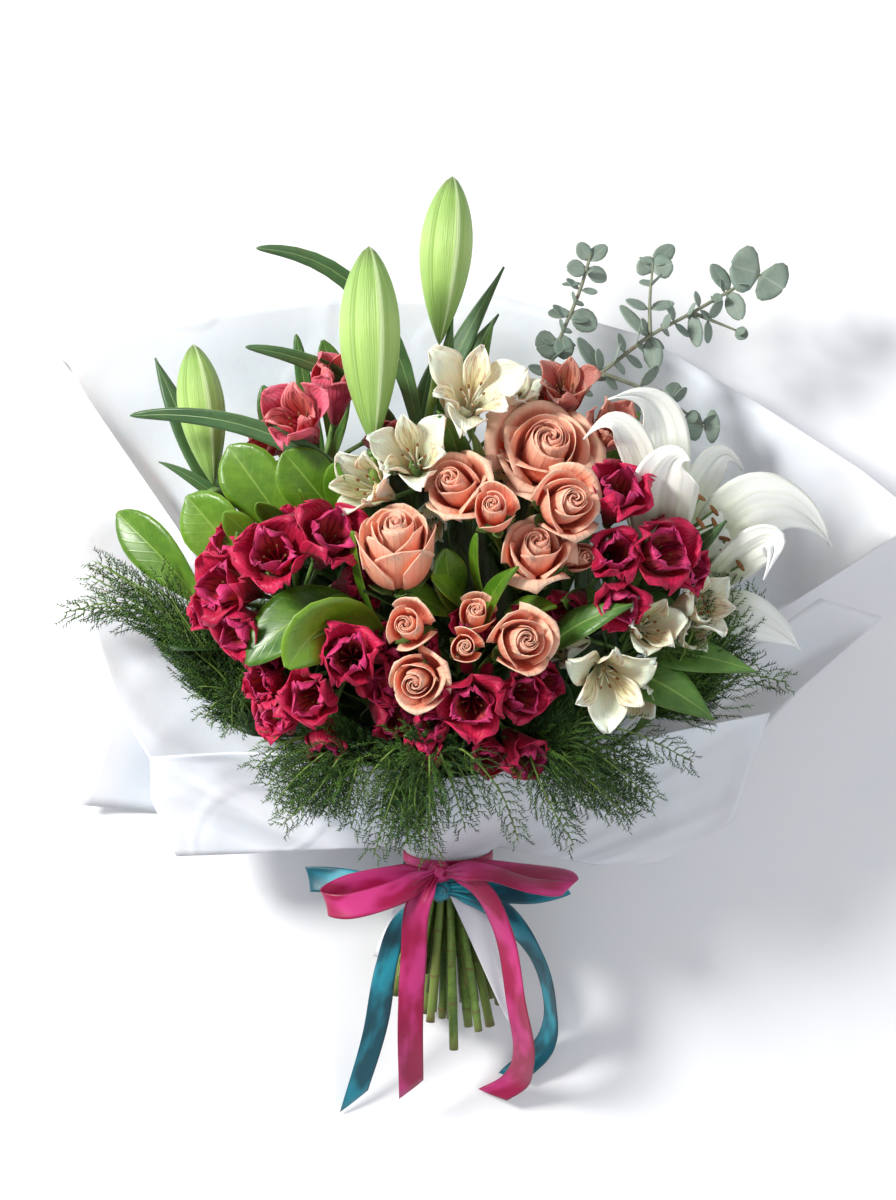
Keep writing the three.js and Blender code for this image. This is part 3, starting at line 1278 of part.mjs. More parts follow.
// The leaves of a stem with the root of each one's stalk, a step apart down the stem.
function rooted(leaves, line) {
  const found = leaves.map((one) => {
    const { curve, share } = nearestOn([line], vec(one.from).lerp(TIE, 0.1));
    return { one, curve, at: share * curve.getLength() };
  });
  found.sort((a, b) => b.at - a.at);
  found.forEach((each, k) => {
    if (k > 0) each.at = Math.min(each.at, found[k - 1].at - LEAF_STEP);
  });
  return found.map(({ one, curve, at }) => ({ ...one, root: curve.getPointAt(at / curve.getLength()) }));
}

// A round leaf starts in its twig, or in the stem that bears the twigs.
function roundLeaf(one, { line, twigs }) {
  const { curve, share } = nearestOn([line, ...twigs].map((points) => points.map(vec)), vec(one.from));
  const foot = curve.getPointAt(share);
  foot.addScaledVector(vec(one.to).sub(foot).normalize(), 0.3);
  return { ...one, from: foot.toArray(), outline: "coin", fold: 0.08 };
}

STEMS.forEach(leafyStem);

for (const one of ROSES) {
  piece(one.name, "peach", {
    stage: STAGE.bloom,
    make: (grow) => rose(one, grow),
    room: (grow) => roseRoom(one, grow),
  });
}
for (const { name, look, hub, blooms } of UMBELS) {
  const heart = vec(hub).addScaledVector(UP, UMBEL_HUB[2]);
  const build = (bloom, grow) => [
    knob(heart, UP, UMBEL_HUB, grow, 5, 3),
    ...blooms.flatMap((one) => {
      const tip = vec(one.base).addScaledVector(vec(one.facing).normalize(), PEDICEL_SUNK);
      return [...bloom(one, grow), stalk([heart, tip], PEDICEL.alstroemeria.radius, 3, 1, grow)];
    }),
  ];
  piece(name, look, {
    stage: STAGE.bloom,
    make: (grow) => build(alstroemeria, grow),
    room: (grow) => build(alstroemeriaRoom, grow),
  });
}
for (const one of LILY_BUDS) {
  piece(one.name, "bud", { stage: STAGE.bloom, make: (grow) => lilyBud(one, grow) });
}
for (const one of OPEN_LILIES) {
  const heart = vec(one.base).addScaledVector(vec(OPEN_LILY_FACING).normalize(), LILY_HEART[2]);
  const tepals = one.tepals.map(({ rib, ...rest }) => ({ rib: [heart, ...rib.slice(1).map(vec)], ...rest }));
  const make = (grow) => [
    knob(heart, UP, LILY_HEART, grow, 6, 4),
    ...tepals.map((tepal) => lilyTepal(tepal, grow)),
  ];
  piece(one.name, "white", { stage: STAGE.bloom, make });
}
for (const one of RIBBONS) {
  piece(one.name, one.look, { stage: STAGE.bloom, make: (grow) => ribbon(one, grow) });
}

const touching = (a, b) => [0, 1, 2].every((k) => a.min[k] <= b.max[k] && b.min[k] <= a.max[k]);

// A solid without what the grown copies of other pieces take up.
function giveWay(solid, others) {
  const box = solid.boundingBox();
  const near = others.filter(({ grown }) => touching(box, grown.boundingBox()));
  return near.length ? solid.subtract(fuse(near.map(({ grown }) => grown))) : solid;
}

const largest = (solid) =>
  solid.decompose().reduce((best, one) => (one.volume() > best.volume() ? one : best));

const inPlace = []; // grown copies of what is already made
for (const stage of Object.values(STAGE)) {
  for (const one of pieces) {
    for (const shape of one.shapes.filter((each) => each.stage === stage)) {
      const others = inPlace.filter(({ name }) => name !== one.name);
      const made = giveWay(fuse(shape.make(0)), others);
      one.solid = largest(one.solid ? fuse([one.solid, made]) : made);
      inPlace.push({ name: one.name, grown: fuse((shape.room ?? shape.make)(CLEARANCE)) });
    }
  }
}

const bouquet = new THREE.Group();
for (const { name, look, solid } of pieces) {
  const mesh = largest(solid.simplify(SHORTEST)).getMesh();
  const geometry = new THREE.BufferGeometry();
  geometry.setAttribute("position", new THREE.Float32BufferAttribute(mesh.vertProperties, 3));
  geometry.setIndex(Array.from(mesh.triVerts));
  const node = new THREE.Mesh(geometry, new THREE.MeshStandardMaterial(LOOKS[look]));
  node.name = name;
  bouquet.add(node);
}

export default bouquet;
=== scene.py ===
"""The looks of a mixed flower bouquet: roses, lilies, alstroemerias and greens in a frosted wrap
with two satin ribbons, lying on a table. Places and sizes are in millimetres, with +Z up and +Y
from the cut stem ends towards the flowers, and become metres where a mesh is made."""

import math

import bpy
import numpy as np
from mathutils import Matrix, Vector


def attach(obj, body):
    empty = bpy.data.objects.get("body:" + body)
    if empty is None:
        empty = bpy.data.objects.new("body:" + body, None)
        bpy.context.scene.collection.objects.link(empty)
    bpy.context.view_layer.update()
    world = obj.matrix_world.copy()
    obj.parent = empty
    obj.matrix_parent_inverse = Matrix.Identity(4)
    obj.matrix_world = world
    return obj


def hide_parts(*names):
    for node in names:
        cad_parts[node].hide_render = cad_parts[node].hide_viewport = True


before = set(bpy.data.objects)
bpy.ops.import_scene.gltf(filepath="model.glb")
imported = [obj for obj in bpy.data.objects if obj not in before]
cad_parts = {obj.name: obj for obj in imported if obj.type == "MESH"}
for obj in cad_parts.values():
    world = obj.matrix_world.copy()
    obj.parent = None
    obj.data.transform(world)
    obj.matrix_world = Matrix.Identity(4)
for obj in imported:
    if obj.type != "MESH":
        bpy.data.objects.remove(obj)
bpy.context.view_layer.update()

MM = 0.001

# The camera looks straight down at the bouquet
CAMERA_HEIGHT = 1600
SENSOR_LONG_SIDE = 36
LENS = 78.9

# The tie and the stems that pass through it
TIE = np.array([0.0, -154.0, 44.0])
AXIS_TILT = math.radians(10)
ALONG = np.array([0, math.cos(AXIS_TILT), math.sin(AXIS_TILT)])
FRONT = np.array([0, -math.sin(AXIS_TILT), math.cos(AXIS_TILT)])
RIGHT = np.array([1.0, 0, 0])
UP = np.array([0, 0, 1.0])
STEM_GAP = 0.5
PACKING_ROUNDS = 60
PACKING_PULL = 0.03
STRAIGHT = 11
LEVEL_STEP = 5
LINE_LEVELS = (2, 5, 9, 14, 20, 27, 35)
LEVEL_GAP = 1.4
FIRST_PUSHES = 40
ROUND_PUSHES = 10
LAST_PUSHES = 300
LEVEL_PUSHES = 40
SPREAD_ABOVE = 0.04
TWIST_ABOVE = 0.012
FAN_BELOW = 0.021
FLATTEN_BELOW = 0.005
LEAF_STEP = 6
PEDICEL_STEP = 6
TWIG_STEP = 6
CLEARANCE = 0.35

# Thin things
PETAL = 0.45
LILY_TEPAL = 0.6
LEAF = 0.5
SATIN = 0.4
PAPER = 0.35
RIBBON_WIDTH = 15
GATHERED = 6
SLANT_CUT = -0.4
KNOT_REACH = 10
NECK = 9
WRAP_COLUMN = 24
WRAP_ROWS = 4
FLAT_FROM = 0.2
FLAT_TO = 0.75

GOLDEN = math.radians(137.5)
ALSTROEMERIA_LENGTH = 46
UMBEL_BUD_LENGTHS = (15, 19)
CALYX = dict(lily=(4, 2.5), rose=(5, 3))
PEDICEL_RADIUS = dict(lily=2.6, rose=1.8)
NO_PEDICEL = 9
OPEN_LILY_FACING = (0.5, 0.6, 0.6)
LILY_BUD_ROLL = 0.9
PLAIN_OPENING = 0.8
STEM_RADIUS = dict(lily=3.9, rose=2.6, alstroemeria=2.3, leafy=2.1, fern=1.8)


BAND_RADIUS = 26.2
BAND_WIDTH = 6.25
KNOT_RADIUS = 7
BINDING_RADIUS = 20.0
BINDING_WIDTH = 9
BINDING_TURNS = 6
TWINE_RADIUS = 0.65
RIBBON_COLUMNS = 11
FIRST_TAIL = 2
LOWEST_RIBBON = 0.6

# Fern
FERN_BARE = 12
FERN_BETWEEN = 6
BRANCHLET_STEP = 2.8
BRANCHLET_LONGEST = 24
BRANCHLET_SHORTEST = 8
NEEDLE_STEP = 1.6
NEEDLES_A_STEP = 2
NEEDLE_LENGTH = 4.9
NEEDLE_RADIUS = 0.35
FERN_STRAY = (6, 6, 5)

# What fills the bouquet between its blooms: inner leaves by outline, count, lengths and widths
NARROW_INNER = ("lance", 15, (32, 50), (13, 20))
BROAD_INNER = ("spoon", 11, (42, 62), (20, 27))
INNER_LEAF_FROM = 120
LEAVES_OF = dict(greens="spoon", lily="strap")
SIDE_DROP = 14
ROSE_CLEAR = 12
UMBEL_CLEAR = 25
# Broad near-black leaves that close the gaps between the blooms as painted shade: their width, and their
# tips by stem
SHADE_LEAF_WIDTH = 26
SHADE_LEAVES = dict(
    greens_centre=[(14, 54, 112), (4, 32, 116), (24, 24, 114), (14, 8, 120), (-2, 52, 106)],
    spray_rose_high_stem=[(60, 20, 110), (50, 0, 114), (68, 4, 106), (38, 52, 106), (72, 30, 112)],
    cream_right_stem=[(72, -28, 112), (64, -44, 108), (80, -46, 106), (94, -16, 104)],
    rose_back_stem=[(26, 62, 106), (62, 50, 104), (46, 78, 110)],
    lily_stem_right=[(132, 20, 98), (112, 30, 100)],
    crimson_left_stem=[(-80, 16, 106), (-70, 0, 108), (-92, -2, 102)],
    cream_back_stem=[(-28, 86, 106), (-38, 66, 100), (-8, 78, 104)],
    greens_left=[(-100, 34, 102), (-84, 40, 104)],
    greens_back_left=[(-50, 66, 104), (-68, 60, 104), (-40, 40, 104)],
)
SIDE_FLORETS = dict(crimson=(8, 27), coral=(4, 22), dusty=(3, 20), cream=(4, 22))

# Points along and across each kind of sheet
LEAF_GRID = dict(strap=(16, 7), lance=(16, 7), spoon=(14, 9), coin=(9, 7))
SMALL_LEAF_GRID = (10, 5)
SEPAL_GRID = (8, 5)
ROSE_GRID = (14, 11)
TEPAL_GRID = (16, 9)
LILY_TEPAL_GRID = (26, 11)
LILY_BUD_GRID = (36, 48)
SIDE_TEPAL_GRID = (12, 7)

# How ruffled, how closed, how pointed and how broad an umbel's tepals are, and how open its inner ones
PLAIN_TEPALS = (2.0, 1.1, 0.6, 0.72, 0.72)
TEPALS = dict(crimson=(2.6, 0.9, 0.5, 1.1, 0.42), coral=(2.0, 0.9, 0.5, 0.95, 0.6))

# Petals in a rose's tight heart and round it, from a radius up
ROSE_PETALS = ((20, 13, 11), (14, 10, 7), (0, 8, 4))
HEART_DEPTH = 0.44
OUTER_DEPTH = 0.56

# Pairs of small leaves along the eucalyptus
PAIR_STEP = 9
PAIR_LENGTHS = (15, 9)
PAIR_FROM = 0.68
TWIG_PAIR_FROM = 0.35
ROUND_LEAF_SCALE = 1.35

# Wrap: how fine its grid is made, and the highest it may lie
FINER_ROWS = 11
FINER_COLUMNS = 8
EASING = 10
WRAP_TOP = 145
SAG = 7

# What the random draws of each kind of piece start from
SEEDS = dict(stem=100, rose=200, umbel=300, lily=400)


# Rows of the tables


def rose(name, base, facing, radius, height, opened, roll=0):
    """A rose, on the stem that has its name without its number."""
    stem = name.rstrip("_12345") + "_stem"
    sizes = dict(radius=radius, height=height, open=opened, roll=roll)
    return dict(name=name, on=stem, base=base, facing=facing, **sizes)


def bloom(base, facing, size, roll, opened=PLAIN_OPENING, grid=TEPAL_GRID):
    """A bloom of an umbel."""
    return dict(base=base, facing=facing, size=size, roll=roll, open=opened, grid=grid)


def umbel(name, hub, below, buds, *blooms):
    """An umbel of alstroemerias, whose look is the first word of its name."""
    return dict(name=name, look=name.split("_")[0], hub=hub, below=below, buds=buds, blooms=blooms)


def lily_bud(name, stem, base, facing, length, radius):
    return dict(name=name, on=stem, base=base, facing=facing, length=length, radius=radius)


def open_lily(name, stem, base, *tepals):
    return dict(name=name, on=stem, base=base, facing=OPEN_LILY_FACING, tepals=tepals)


# Roses: name, foot, where it faces, radius, height and how open
ROSES = [
    rose("rose_front", (-27, 10, 158), (-0.05, 0.72, 0.7), 21, 46, 0.3, roll=1.2),
    rose("rose_back", (51, 73, 128), (0.15, 0.45, 0.88), 27, 38, 1),
    rose("spray_rose_high_1", (10, 55, 150), (-0.3, 0.35, 0.89), 17.5, 33, 0.8),
    rose("spray_rose_high_2", (25, 43, 172), (-0.05, 0.3, 0.95), 13, 30, 0.3),
    rose("spray_rose_high_3", (57, 48, 164), (0.35, 0.2, 0.92), 18, 33, 0.7),
    rose("spray_rose_high_4", (47, 16, 155), (0.05, 0.5, 0.86), 18, 34, 0.9),
    rose("spray_rose_high_5", (66, 20, 150), (0.5, 0.2, 0.84), 8, 20, 0),
    rose("spray_rose_low_1", (-18, -17, 170), (-0.2, 0.15, 0.97), 13.5, 28, 0.5),
    rose("spray_rose_low_2", (-13, -41, 168), (-0.2, -0.15, 0.97), 15, 28, 0.7),
    rose("spray_rose_low_3", (8, -26, 176), (0.05, 0.05, 1), 10, 24, 0.1),
    rose("spray_rose_low_4", (34, -24, 170), (0.3, 0.1, 0.95), 17, 30, 0.6),
    rose("spray_rose_low_5", (14, -13, 160), (0.05, 0.35, 0.94), 11, 24, 0.3),
]

# Alstroemerias: name, hub, how far the stem runs below the tie, which ways its buds point, and blooms
UMBELS = [
    umbel(
        "crimson_left", (-84, -5, 112), 62, [(-0.2, -0.6, 0.7), (0.5, -0.3, 0.8)],
        bloom((-72, 18, 146), (0.25, 0.5, 0.83), 1.02, 0.3),
        bloom((-91, 15, 145), (-0.1, 0.3, 0.95), 1, 0.9),
        bloom((-104, 3, 135), (-0.6, 0.15, 0.78), 0.95, 0.1),
        bloom((-100, -8, 136), (-0.5, -0.3, 0.81), 0.85, 0.6, opened=0.55),
    ),
    umbel(
        "crimson_low_left", (-55, -38, 122), 94, [(0.3, -0.5, 0.8), (-0.1, 0.6, 0.8)],
        bloom((-52, -33, 145), (-0.05, 0.1, 0.99), 0.95, 0.2, opened=0.6),
        bloom((-65, -47, 143), (-0.35, -0.2, 0.91), 0.85, 0.8, opened=0.6),
        bloom((-79, -55, 140), (-0.6, -0.35, 0.72), 0.66, 0, opened=0.3),
    ),
    umbel(
        "crimson_low", (15, -49, 122), 100, [(0.25, 0.4, 0.85), (-0.2, 0.5, 0.8)],
        bloom((13, -52, 147), (0, -0.15, 0.99), 0.95, 0.5, opened=0.7),
        bloom((29, -49, 143), (0.4, -0.1, 0.9), 0.8, 0.1, opened=0.6),
        bloom((-1, -57, 146), (-0.35, -0.45, 0.82), 0.62, 0, opened=0.3),
    ),
    umbel(
        "crimson_right", (97, 23, 105), 86, [(-0.4, -0.3, 0.85), (0.6, -0.2, 0.7)],
        bloom((88, 42, 140), (0.15, 0.5, 0.85), 1, 0.2, opened=0.6),
        bloom((88, 24, 142), (0.1, 0.05, 0.99), 0.85, 0.7, opened=0.5),
        bloom((101, 23, 135), (0.5, 0.1, 0.86), 1, 0.4),
        bloom((91, 9, 138), (0.1, -0.4, 0.91), 0.8, 0, opened=0.6),
    ),
    umbel(
        "coral_back_left", (-72, 75, 91), 70, [],
        bloom((-74, 89, 120), (-0.3, 0.4, 0.86), 1, 0.55),
        bloom((-64, 99, 112), (0.1, 0.8, 0.6), 0.95, 0.1, opened=0.6),
    ),
    umbel(
        "dusty_back_right", (73, 81, 80), 90, [],
        bloom((66, 100, 104), (0, 0.65, 0.76), 0.92, 0.3, opened=0.6),
        bloom((80, 82, 112), (0.4, 0.5, 0.77), 0.88, 0.8, opened=0.6),
    ),
    umbel(
        "cream_back", (-6, 70, 92), 98, [(-0.5, -0.2, 0.8)],
        bloom((10, 101, 128), (0.1, 0.4, 0.91), 1.1, 0.3, opened=0.95),
        bloom((-16, 69, 138), (-0.1, 0.35, 0.93), 1, 0.8, opened=0.8),
        bloom((-30, 57, 138), (-0.5, 0.2, 0.84), 1, 0.2, opened=0.6),
        bloom((29, 96, 112), (0.3, 0.68, 0.66), 0.9, 0, opened=0.45),
    ),
    umbel(
        "cream_right", (99, -29, 98), 84, [(0.1, -0.7, 0.7), (0.7, -0.4, 0.6)],
        bloom((84, -34, 138), (0.1, -0.3, 0.95), 1.05, 0.5, opened=0.85),
        bloom((103, -17, 125), (0.3, 0.1, 0.95), 0.9, 0.1, opened=0.6),
        bloom((124, -7, 112), (0.6, 0.15, 0.79), 0.95, 0.8, opened=0.6),
    ),
]

# Lily buds: name, stem, foot, where it points, length and radius
LILY_BUDS = [
    lily_bud("lily_bud_front", "lily_stem_back", (-41, 83, 158), (-0.02, 0.99, 0.02), 111, 16.6),
    lily_bud("lily_bud_tall", "lily_stem_back", (-5, 144, 112), (0.08, 0.99, 0.02), 96, 14.8),
    lily_bud("lily_bud_left", "lily_stem_left", (-134, 65, 96), (-0.14, 0.98, 0.02), 82, 13.4),
]

# Open lilies: name, stem, foot, and each tepal's width, upper side and rib
OPEN_LILIES = [
    open_lily(
        "lily_open_back", "lily_stem_right", (115, 20, 112),
        (27, (0, 0, 1), (123, 73, 132), (131, 126, 140), (88, 110, 158)),
        (20, (-0.3, 0.2, 0.93), (111, 66, 150), (100, 120, 170), (74, 88, 160)),
        (38, (0, 0, 1), (116, 49, 165), (117, 87, 172), (131, 75, 178)),
        (20, (0.3, 0.1, 0.95), (142, 56, 118), (152, 102, 112), (168, 74, 100)),
        (26, (0, 0, 1), (105, 57, 92), (111, 93, 78), (129, 111, 62)),
        (24, (0.4, 0, 0.9), (147, 31, 130), (161, 48, 120), (168, 40, 98)),
    ),
    open_lily(
        "lily_open_right", "lily_stem_right", (139, -3, 92),
        (40, (0.1, 0.1, 0.99), (150, 56, 128), (191, 72, 134), (219, 30, 100)),
        (24, (0.1, -0.2, 0.97), (159, 22, 140), (194, 55, 150), (175, 11, 142)),
        (26, (0, 0, 1), (159, -6, 118), (184, -11, 116), (203, -29, 86)),
        (24, (0, 0, 1), (155, 34, 96), (179, 46, 90), (205, 47, 66)),
    ),
]

# Leaves of each stem: outline, foot, tip, bow of the rib, width and upper side
LEAVES = dict(
    lily_stem_back=[
        ("strap", (-16, 89, 96), (-108, 198, 118), (32, 52, 14), 13, (-0.4, -0.3, 0.85)),
        ("lance", (-14, 98, 84), (32, 193, 78), (-8, -8, 6), 15, (-0.5, 0, 0.85)),
        ("lance", (-13, 92, 80), (29, 165, 84), (-2, 6, 8), 13, (-0.4, 0, 0.9)),
        ("lance", (-17, 88, 88), (-7, 142, 96), (-4, 0, 8), 12, (-0.4, 0, 0.9)),
        ("strap", (-22, 80, 96), (-113, 141, 132), (22, 24, 12), 12, (-0.3, -0.3, 0.9)),
    ],
    lily_stem_left=[
        ("strap", (-53, 65, 140), (-178, 103, 128), (10, 24, 16), 12, (-0.1, -0.3, 0.95)),
        ("lance", (-124, 46, 84), (-169, 140, 80), (-6, 6, 6), 17, (0.3, 0, 0.95)),
        ("lance", (-120, 48, 86), (-166, 79, 92), (0, 8, 4), 8, (0, -0.3, 0.95)),
    ],
    lily_stem_right=[
        ("lance", (109, 6, 104), (153, 44, 150), (-4, -8, 10), 17, (-0.3, 0.3, 0.9)),
    ],
    cream_back_stem=[
        ("lance", (2, 63, 100), (-21, 72, 178), (-12, 6, 14), 15, (-0.6, -0.1, 0.8)),
        ("lance", (8, 57, 110), (-5, 102, 172), (8, 4, 4), 17, (0.4, -0.2, 0.9)),
        ("lance", (17, 57, 112), (13, 92, 178), (6, -2, 6), 11, (0.5, 0, 0.86)),
        ("lance", (0, 92, 92), (3, 159, 112), (-6, 0, 6), 11, (0.2, -0.2, 0.95)),
        ("lance", (13, 92, 88), (26, 160, 108), (-6, 0, 6), 11, (-0.3, -0.2, 0.93)),
        ("lance", (33, 92, 80), (38, 130, 120), (0, 0, 4), 10, (0, -0.2, 0.97)),
    ],
    cream_right_stem=[
        ("lance", (98, -23, 94), (155, -7, 116), (0, -6, 4), 24, (0, 0.2, 0.97)),
        ("lance", (109, -28, 112), (173, -40, 128), (-4, 6, 14), 21, (0, 0.3, 0.95)),
        ("lance", (98, -38, 112), (149, -67, 130), (-2, 8, 14), 26, (0.1, 0.2, 0.97)),
        ("lance", (55, -27, 140), (100, -2, 172), (-10, 4, 14), 21, (-0.2, 0.5, 0.84)),
    ],
    crimson_low_stem=[
        ("spoon", (1, -68, 112), (-24, -76, 150), (0, 0, 6), 14, (0, -0.4, 0.9)),
        ("lance", (28, -63, 108), (51, -72, 146), (0, 0, 8), 13, (0, -0.3, 0.95)),
    ],
    crimson_low_left_stem=[
        ("lance", (-61, -51, 112), (-83, -75, 130), (0, 0, 6), 12, (0, -0.4, 0.9)),
    ],
    crimson_right_stem=[
        ("lance", (90, 0, 96), (61, 0, 172), (-8, 0, 4), 15, (-0.7, 0.1, 0.7)),
        ("lance", (110, 6, 90), (137, -23, 108), (4, 4, 8), 15, (0.4, 0.2, 0.9)),
    ],
    coral_back_left_stem=[
        ("strap", (-73, 69, 80), (-87, 152, 96), (0, 0, 8), 11, (0, -0.2, 0.97)),
        ("spoon", (-68, 75, 78), (-72, 149, 92), (10, 6, 4), 19, (0.2, 0, 0.97)),
        ("spoon", (-92, 75, 76), (-107, 124, 80), (0, 0, 4), 16, (0, 0, 1)),
    ],
    dusty_back_right_stem=[
        ("lance", (88, 75, 74), (111, 108, 84), (0, 4, 4), 16, (0, 0, 1)),
        ("lance", (65, 75, 72), (41, 114, 88), (0, 0, 4), 13, (0, 0, 1)),
    ],
    greens_outer_left=[
        ("spoon", (-135, -7, 104), (-190, 50, 92), (-2, 6, 12), 29, (-0.2, -0.2, 0.96)),
        ("spoon", (-135, -10, 98), (-167, -23, 78), (0, 0, 8), 20, (-0.2, -0.1, 0.96)),
    ],
    greens_left=[
        ("spoon", (-104, 7, 128), (-146, 58, 132), (-4, 6, 12), 36, (-0.25, -0.1, 0.96)),
        ("spoon", (-82, 29, 126), (-123, 86, 130), (-4, 6, 12), 35, (-0.1, 0, 0.99)),
        ("spoon", (-98, 22, 134), (-123, 48, 156), (-2, 4, 6), 17, (-0.3, 0, 0.95)),
        ("spoon", (-82, 33, 136), (-104, 53, 164), (-4, 4, 4), 14, (-0.5, 0.2, 0.83)),
        ("strap", (-111, 6, 130), (-115, 37, 170), (-6, 0, 2), 9, (-0.9, 0, 0.4)),
    ],
    greens_back_left=[
        ("spoon", (-54, 36, 128), (-91, 82, 144), (-4, 6, 10), 33, (-0.1, 0, 0.99)),
        ("spoon", (-55, 39, 132), (-61, 75, 162), (-6, 0, 2), 17, (-0.5, 0, 0.86)),
        ("spoon", (-66, 45, 126), (-81, 60, 160), (-4, 0, 2), 12, (-0.4, 0.3, 0.86)),
    ],
    greens_front_left=[
        ("spoon", (-39, -14, 148), (-110, -35, 166), (0, 36, 22), 36, (-0.35, 0.35, 0.87)),
        ("spoon", (-33, -22, 140), (-86, -37, 186), (-4, 34, 20), 38, (0.1, -0.5, 0.86)),
        ("strap", (-40, -9, 150), (-52, 37, 186), (-6, 0, 6), 11, (-0.8, 0, 0.6)),
        ("spoon", (-33, -12, 140), (-64, 0, 172), (-4, 4, 8), 13, (0, 0.6, 0.8)),
    ],
    greens_centre=[
        ("spoon", (8, -12, 142), (-1, 28, 168), (-4, 0, 8), 22, (0.5, 0, 0.86)),
        ("strap", (22, -3, 150), (15, 36, 184), (-8, 0, 4), 11, (-0.8, 0, 0.6)),
        ("lance", (20, -14, 156), (37, 18, 192), (-8, 4, 6), 15, (-0.7, 0.2, 0.7)),
        ("spoon", (4, -10, 148), (-27, 4, 168), (-2, 6, 8), 20, (0, 0.5, 0.86)),
        ("spoon", (10, -7, 146), (-9, 12, 172), (0, 8, 6), 15, (0.1, 0.5, 0.86)),
        ("lance", (29, -11, 140), (59, -3, 168), (0, 6, 8), 16, (0.1, 0.5, 0.86)),
    ],
)

# Eucalyptus: the line past its stem's top, its twigs, and each leaf's foot, tip, width and upper side
EUCALYPTUS = dict(
    eucalyptus_long=dict(
        line=[
            (62, 97, 92), (64, 116, 90), (88, 131, 84), (117, 153, 78), (142, 167, 72), (164, 180, 68),
            (182, 190, 66),
        ],
        twigs=[
            [(117, 153, 78), (117, 174, 76), (119, 196, 74)],
            [(142, 167, 72), (155, 162, 70), (168, 157, 68)],
            [(88, 131, 84), (111, 123, 78), (132, 113, 72), (149, 101, 68)],
        ],
        leaves=[
            ((181, 189, 66), (165, 195, 70), 22, (0, 0.2, 0.97)),
            ((182, 190, 66), (195, 181, 70), 20, (0.2, 0, 0.97)),
            ((164, 179, 68), (154, 196, 66), 8, (0.3, 0.2, 0.93)),
            ((165, 180, 68), (170, 163, 72), 9, (-0.3, 0, 0.95)),
            ((142, 167, 72), (145, 147, 74), 7, (-0.5, 0.2, 0.86)),
            ((116, 152, 78), (100, 171, 74), 6, (0.6, -0.3, 0.7)),
            ((116, 153, 78), (120, 133, 80), 9, (-0.3, 0, 0.95)),
            ((88, 131, 84), (75, 151, 86), 8, (0.5, 0.3, 0.8)),
            ((118, 190, 74), (111, 197, 76), 10, (0, 0.3, 0.95)),
            ((119, 191, 74), (130, 195, 76), 11, (0, 0.2, 0.97)),
            ((118, 195, 74), (131, 206, 72), 8, (0, 0.2, 0.97)),
            ((167, 157, 68), (174, 153, 70), 6, (0.2, 0, 0.97)),
            ((128, 115, 73), (115, 104, 76), 9, (0.3, 0.3, 0.9)),
            ((128, 115, 73), (134, 126, 70), 8, (0.3, 0.3, 0.9)),
            ((141, 107, 70), (131, 96, 72), 8, (0.3, 0.3, 0.9)),
            ((149, 101, 68), (138, 102, 72), 14, (0, 0.2, 0.97)),
            ((149, 101, 68), (158, 101, 70), 15, (0.1, 0.1, 0.98)),
        ],
    ),
    eucalyptus_short=dict(
        line=[
            (56, 93, 78), (57, 116, 80), (61, 141, 80), (68, 159, 78), (76, 178, 76), (83, 201, 74),
        ],
        twigs=[],
        leaves=[
            ((82, 197, 74), (76, 207, 76), 7, (0, 0.3, 0.95)),
            ((83, 198, 74), (92, 206, 72), 7, (0, 0.3, 0.95)),
            ((81, 192, 75), (69, 192, 78), 9, (0, 0.4, 0.9)),
            ((81, 191, 75), (92, 186, 73), 8, (0, 0.4, 0.9)),
            ((78, 181, 76), (66, 183, 76), 3.5, (0, 0.8, 0.6)),
            ((73, 167, 77), (58, 166, 78), 6, (0, 0.5, 0.86)),
            ((73, 167, 77), (86, 158, 76), 11, (0, 0.3, 0.95)),
            ((65, 150, 79), (51, 146, 82), 13, (0, 0.2, 0.97)),
            ((65, 153, 79), (68, 139, 84), 9, (0, 0.2, 0.97)),
        ],
    ),
)

# Ferns: the top of the stem, and the twigs that leave it
FERNS = dict(
    fern_left=dict(
        top=(-125, -61, 74),
        twigs=[
            [(-154, -23, 84), (-187, -2, 84), (-222, -7, 74)],
            [(-156, -15, 92), (-183, 10, 94), (-203, 22, 86)],
            [(-138, -28, 100), (-154, -3, 112), (-163, 17, 112)],
            [(-127, -57, 96), (-133, -59, 102), (-138, -66, 98)],
            [(-118, -51, 110), (-121, -56, 120), (-122, -71, 112)],
        ],
    ),
    fern_low_left=dict(
        top=(-56, -80, 122),
        twigs=[
            [(-67, -74, 146), (-89, -78, 148), (-108, -94, 134)],
            [(-64, -82, 150), (-82, -96, 150), (-97, -114, 132)],
            [(-59, -86, 154), (-72, -105, 152), (-93, -126, 130)],
            [(-49, -88, 158), (-53, -103, 156), (-58, -118, 144)],
        ],
    ),
    fern_low=dict(
        top=(-10, -82, 128),
        twigs=[
            [(-21, -85, 158), (-31, -109, 160), (-41, -141, 142)],
            [(-10, -87, 162), (-10, -113, 162), (-10, -143, 144)],
            [(-28, -81, 158), (-44, -98, 156), (-54, -127, 138)],
            [(8, -82, 162), (28, -104, 158), (39, -133, 142)],
        ],
    ),
    fern_low_right=dict(
        top=(45, -80, 120),
        twigs=[
            [(45, -86, 154), (54, -108, 156), (70, -136, 138)],
            [(59, -84, 152), (78, -100, 150), (102, -123, 128)],
            [(68, -78, 150), (92, -92, 146), (116, -114, 124)],
            [(73, -68, 148), (101, -73, 144), (138, -91, 120)],
        ],
    ),
    fern_right=dict(
        top=(123, -64, 88),
        twigs=[
            [(146, -57, 112), (167, -43, 112), (193, -47, 100)],
            [(139, -34, 120), (153, -6, 126), (157, 20, 118)],
            [(149, -40, 112), (165, -17, 110), (176, 5, 100)],
            [(130, -34, 126), (138, -13, 134), (142, 7, 128)],
        ],
    ),
)

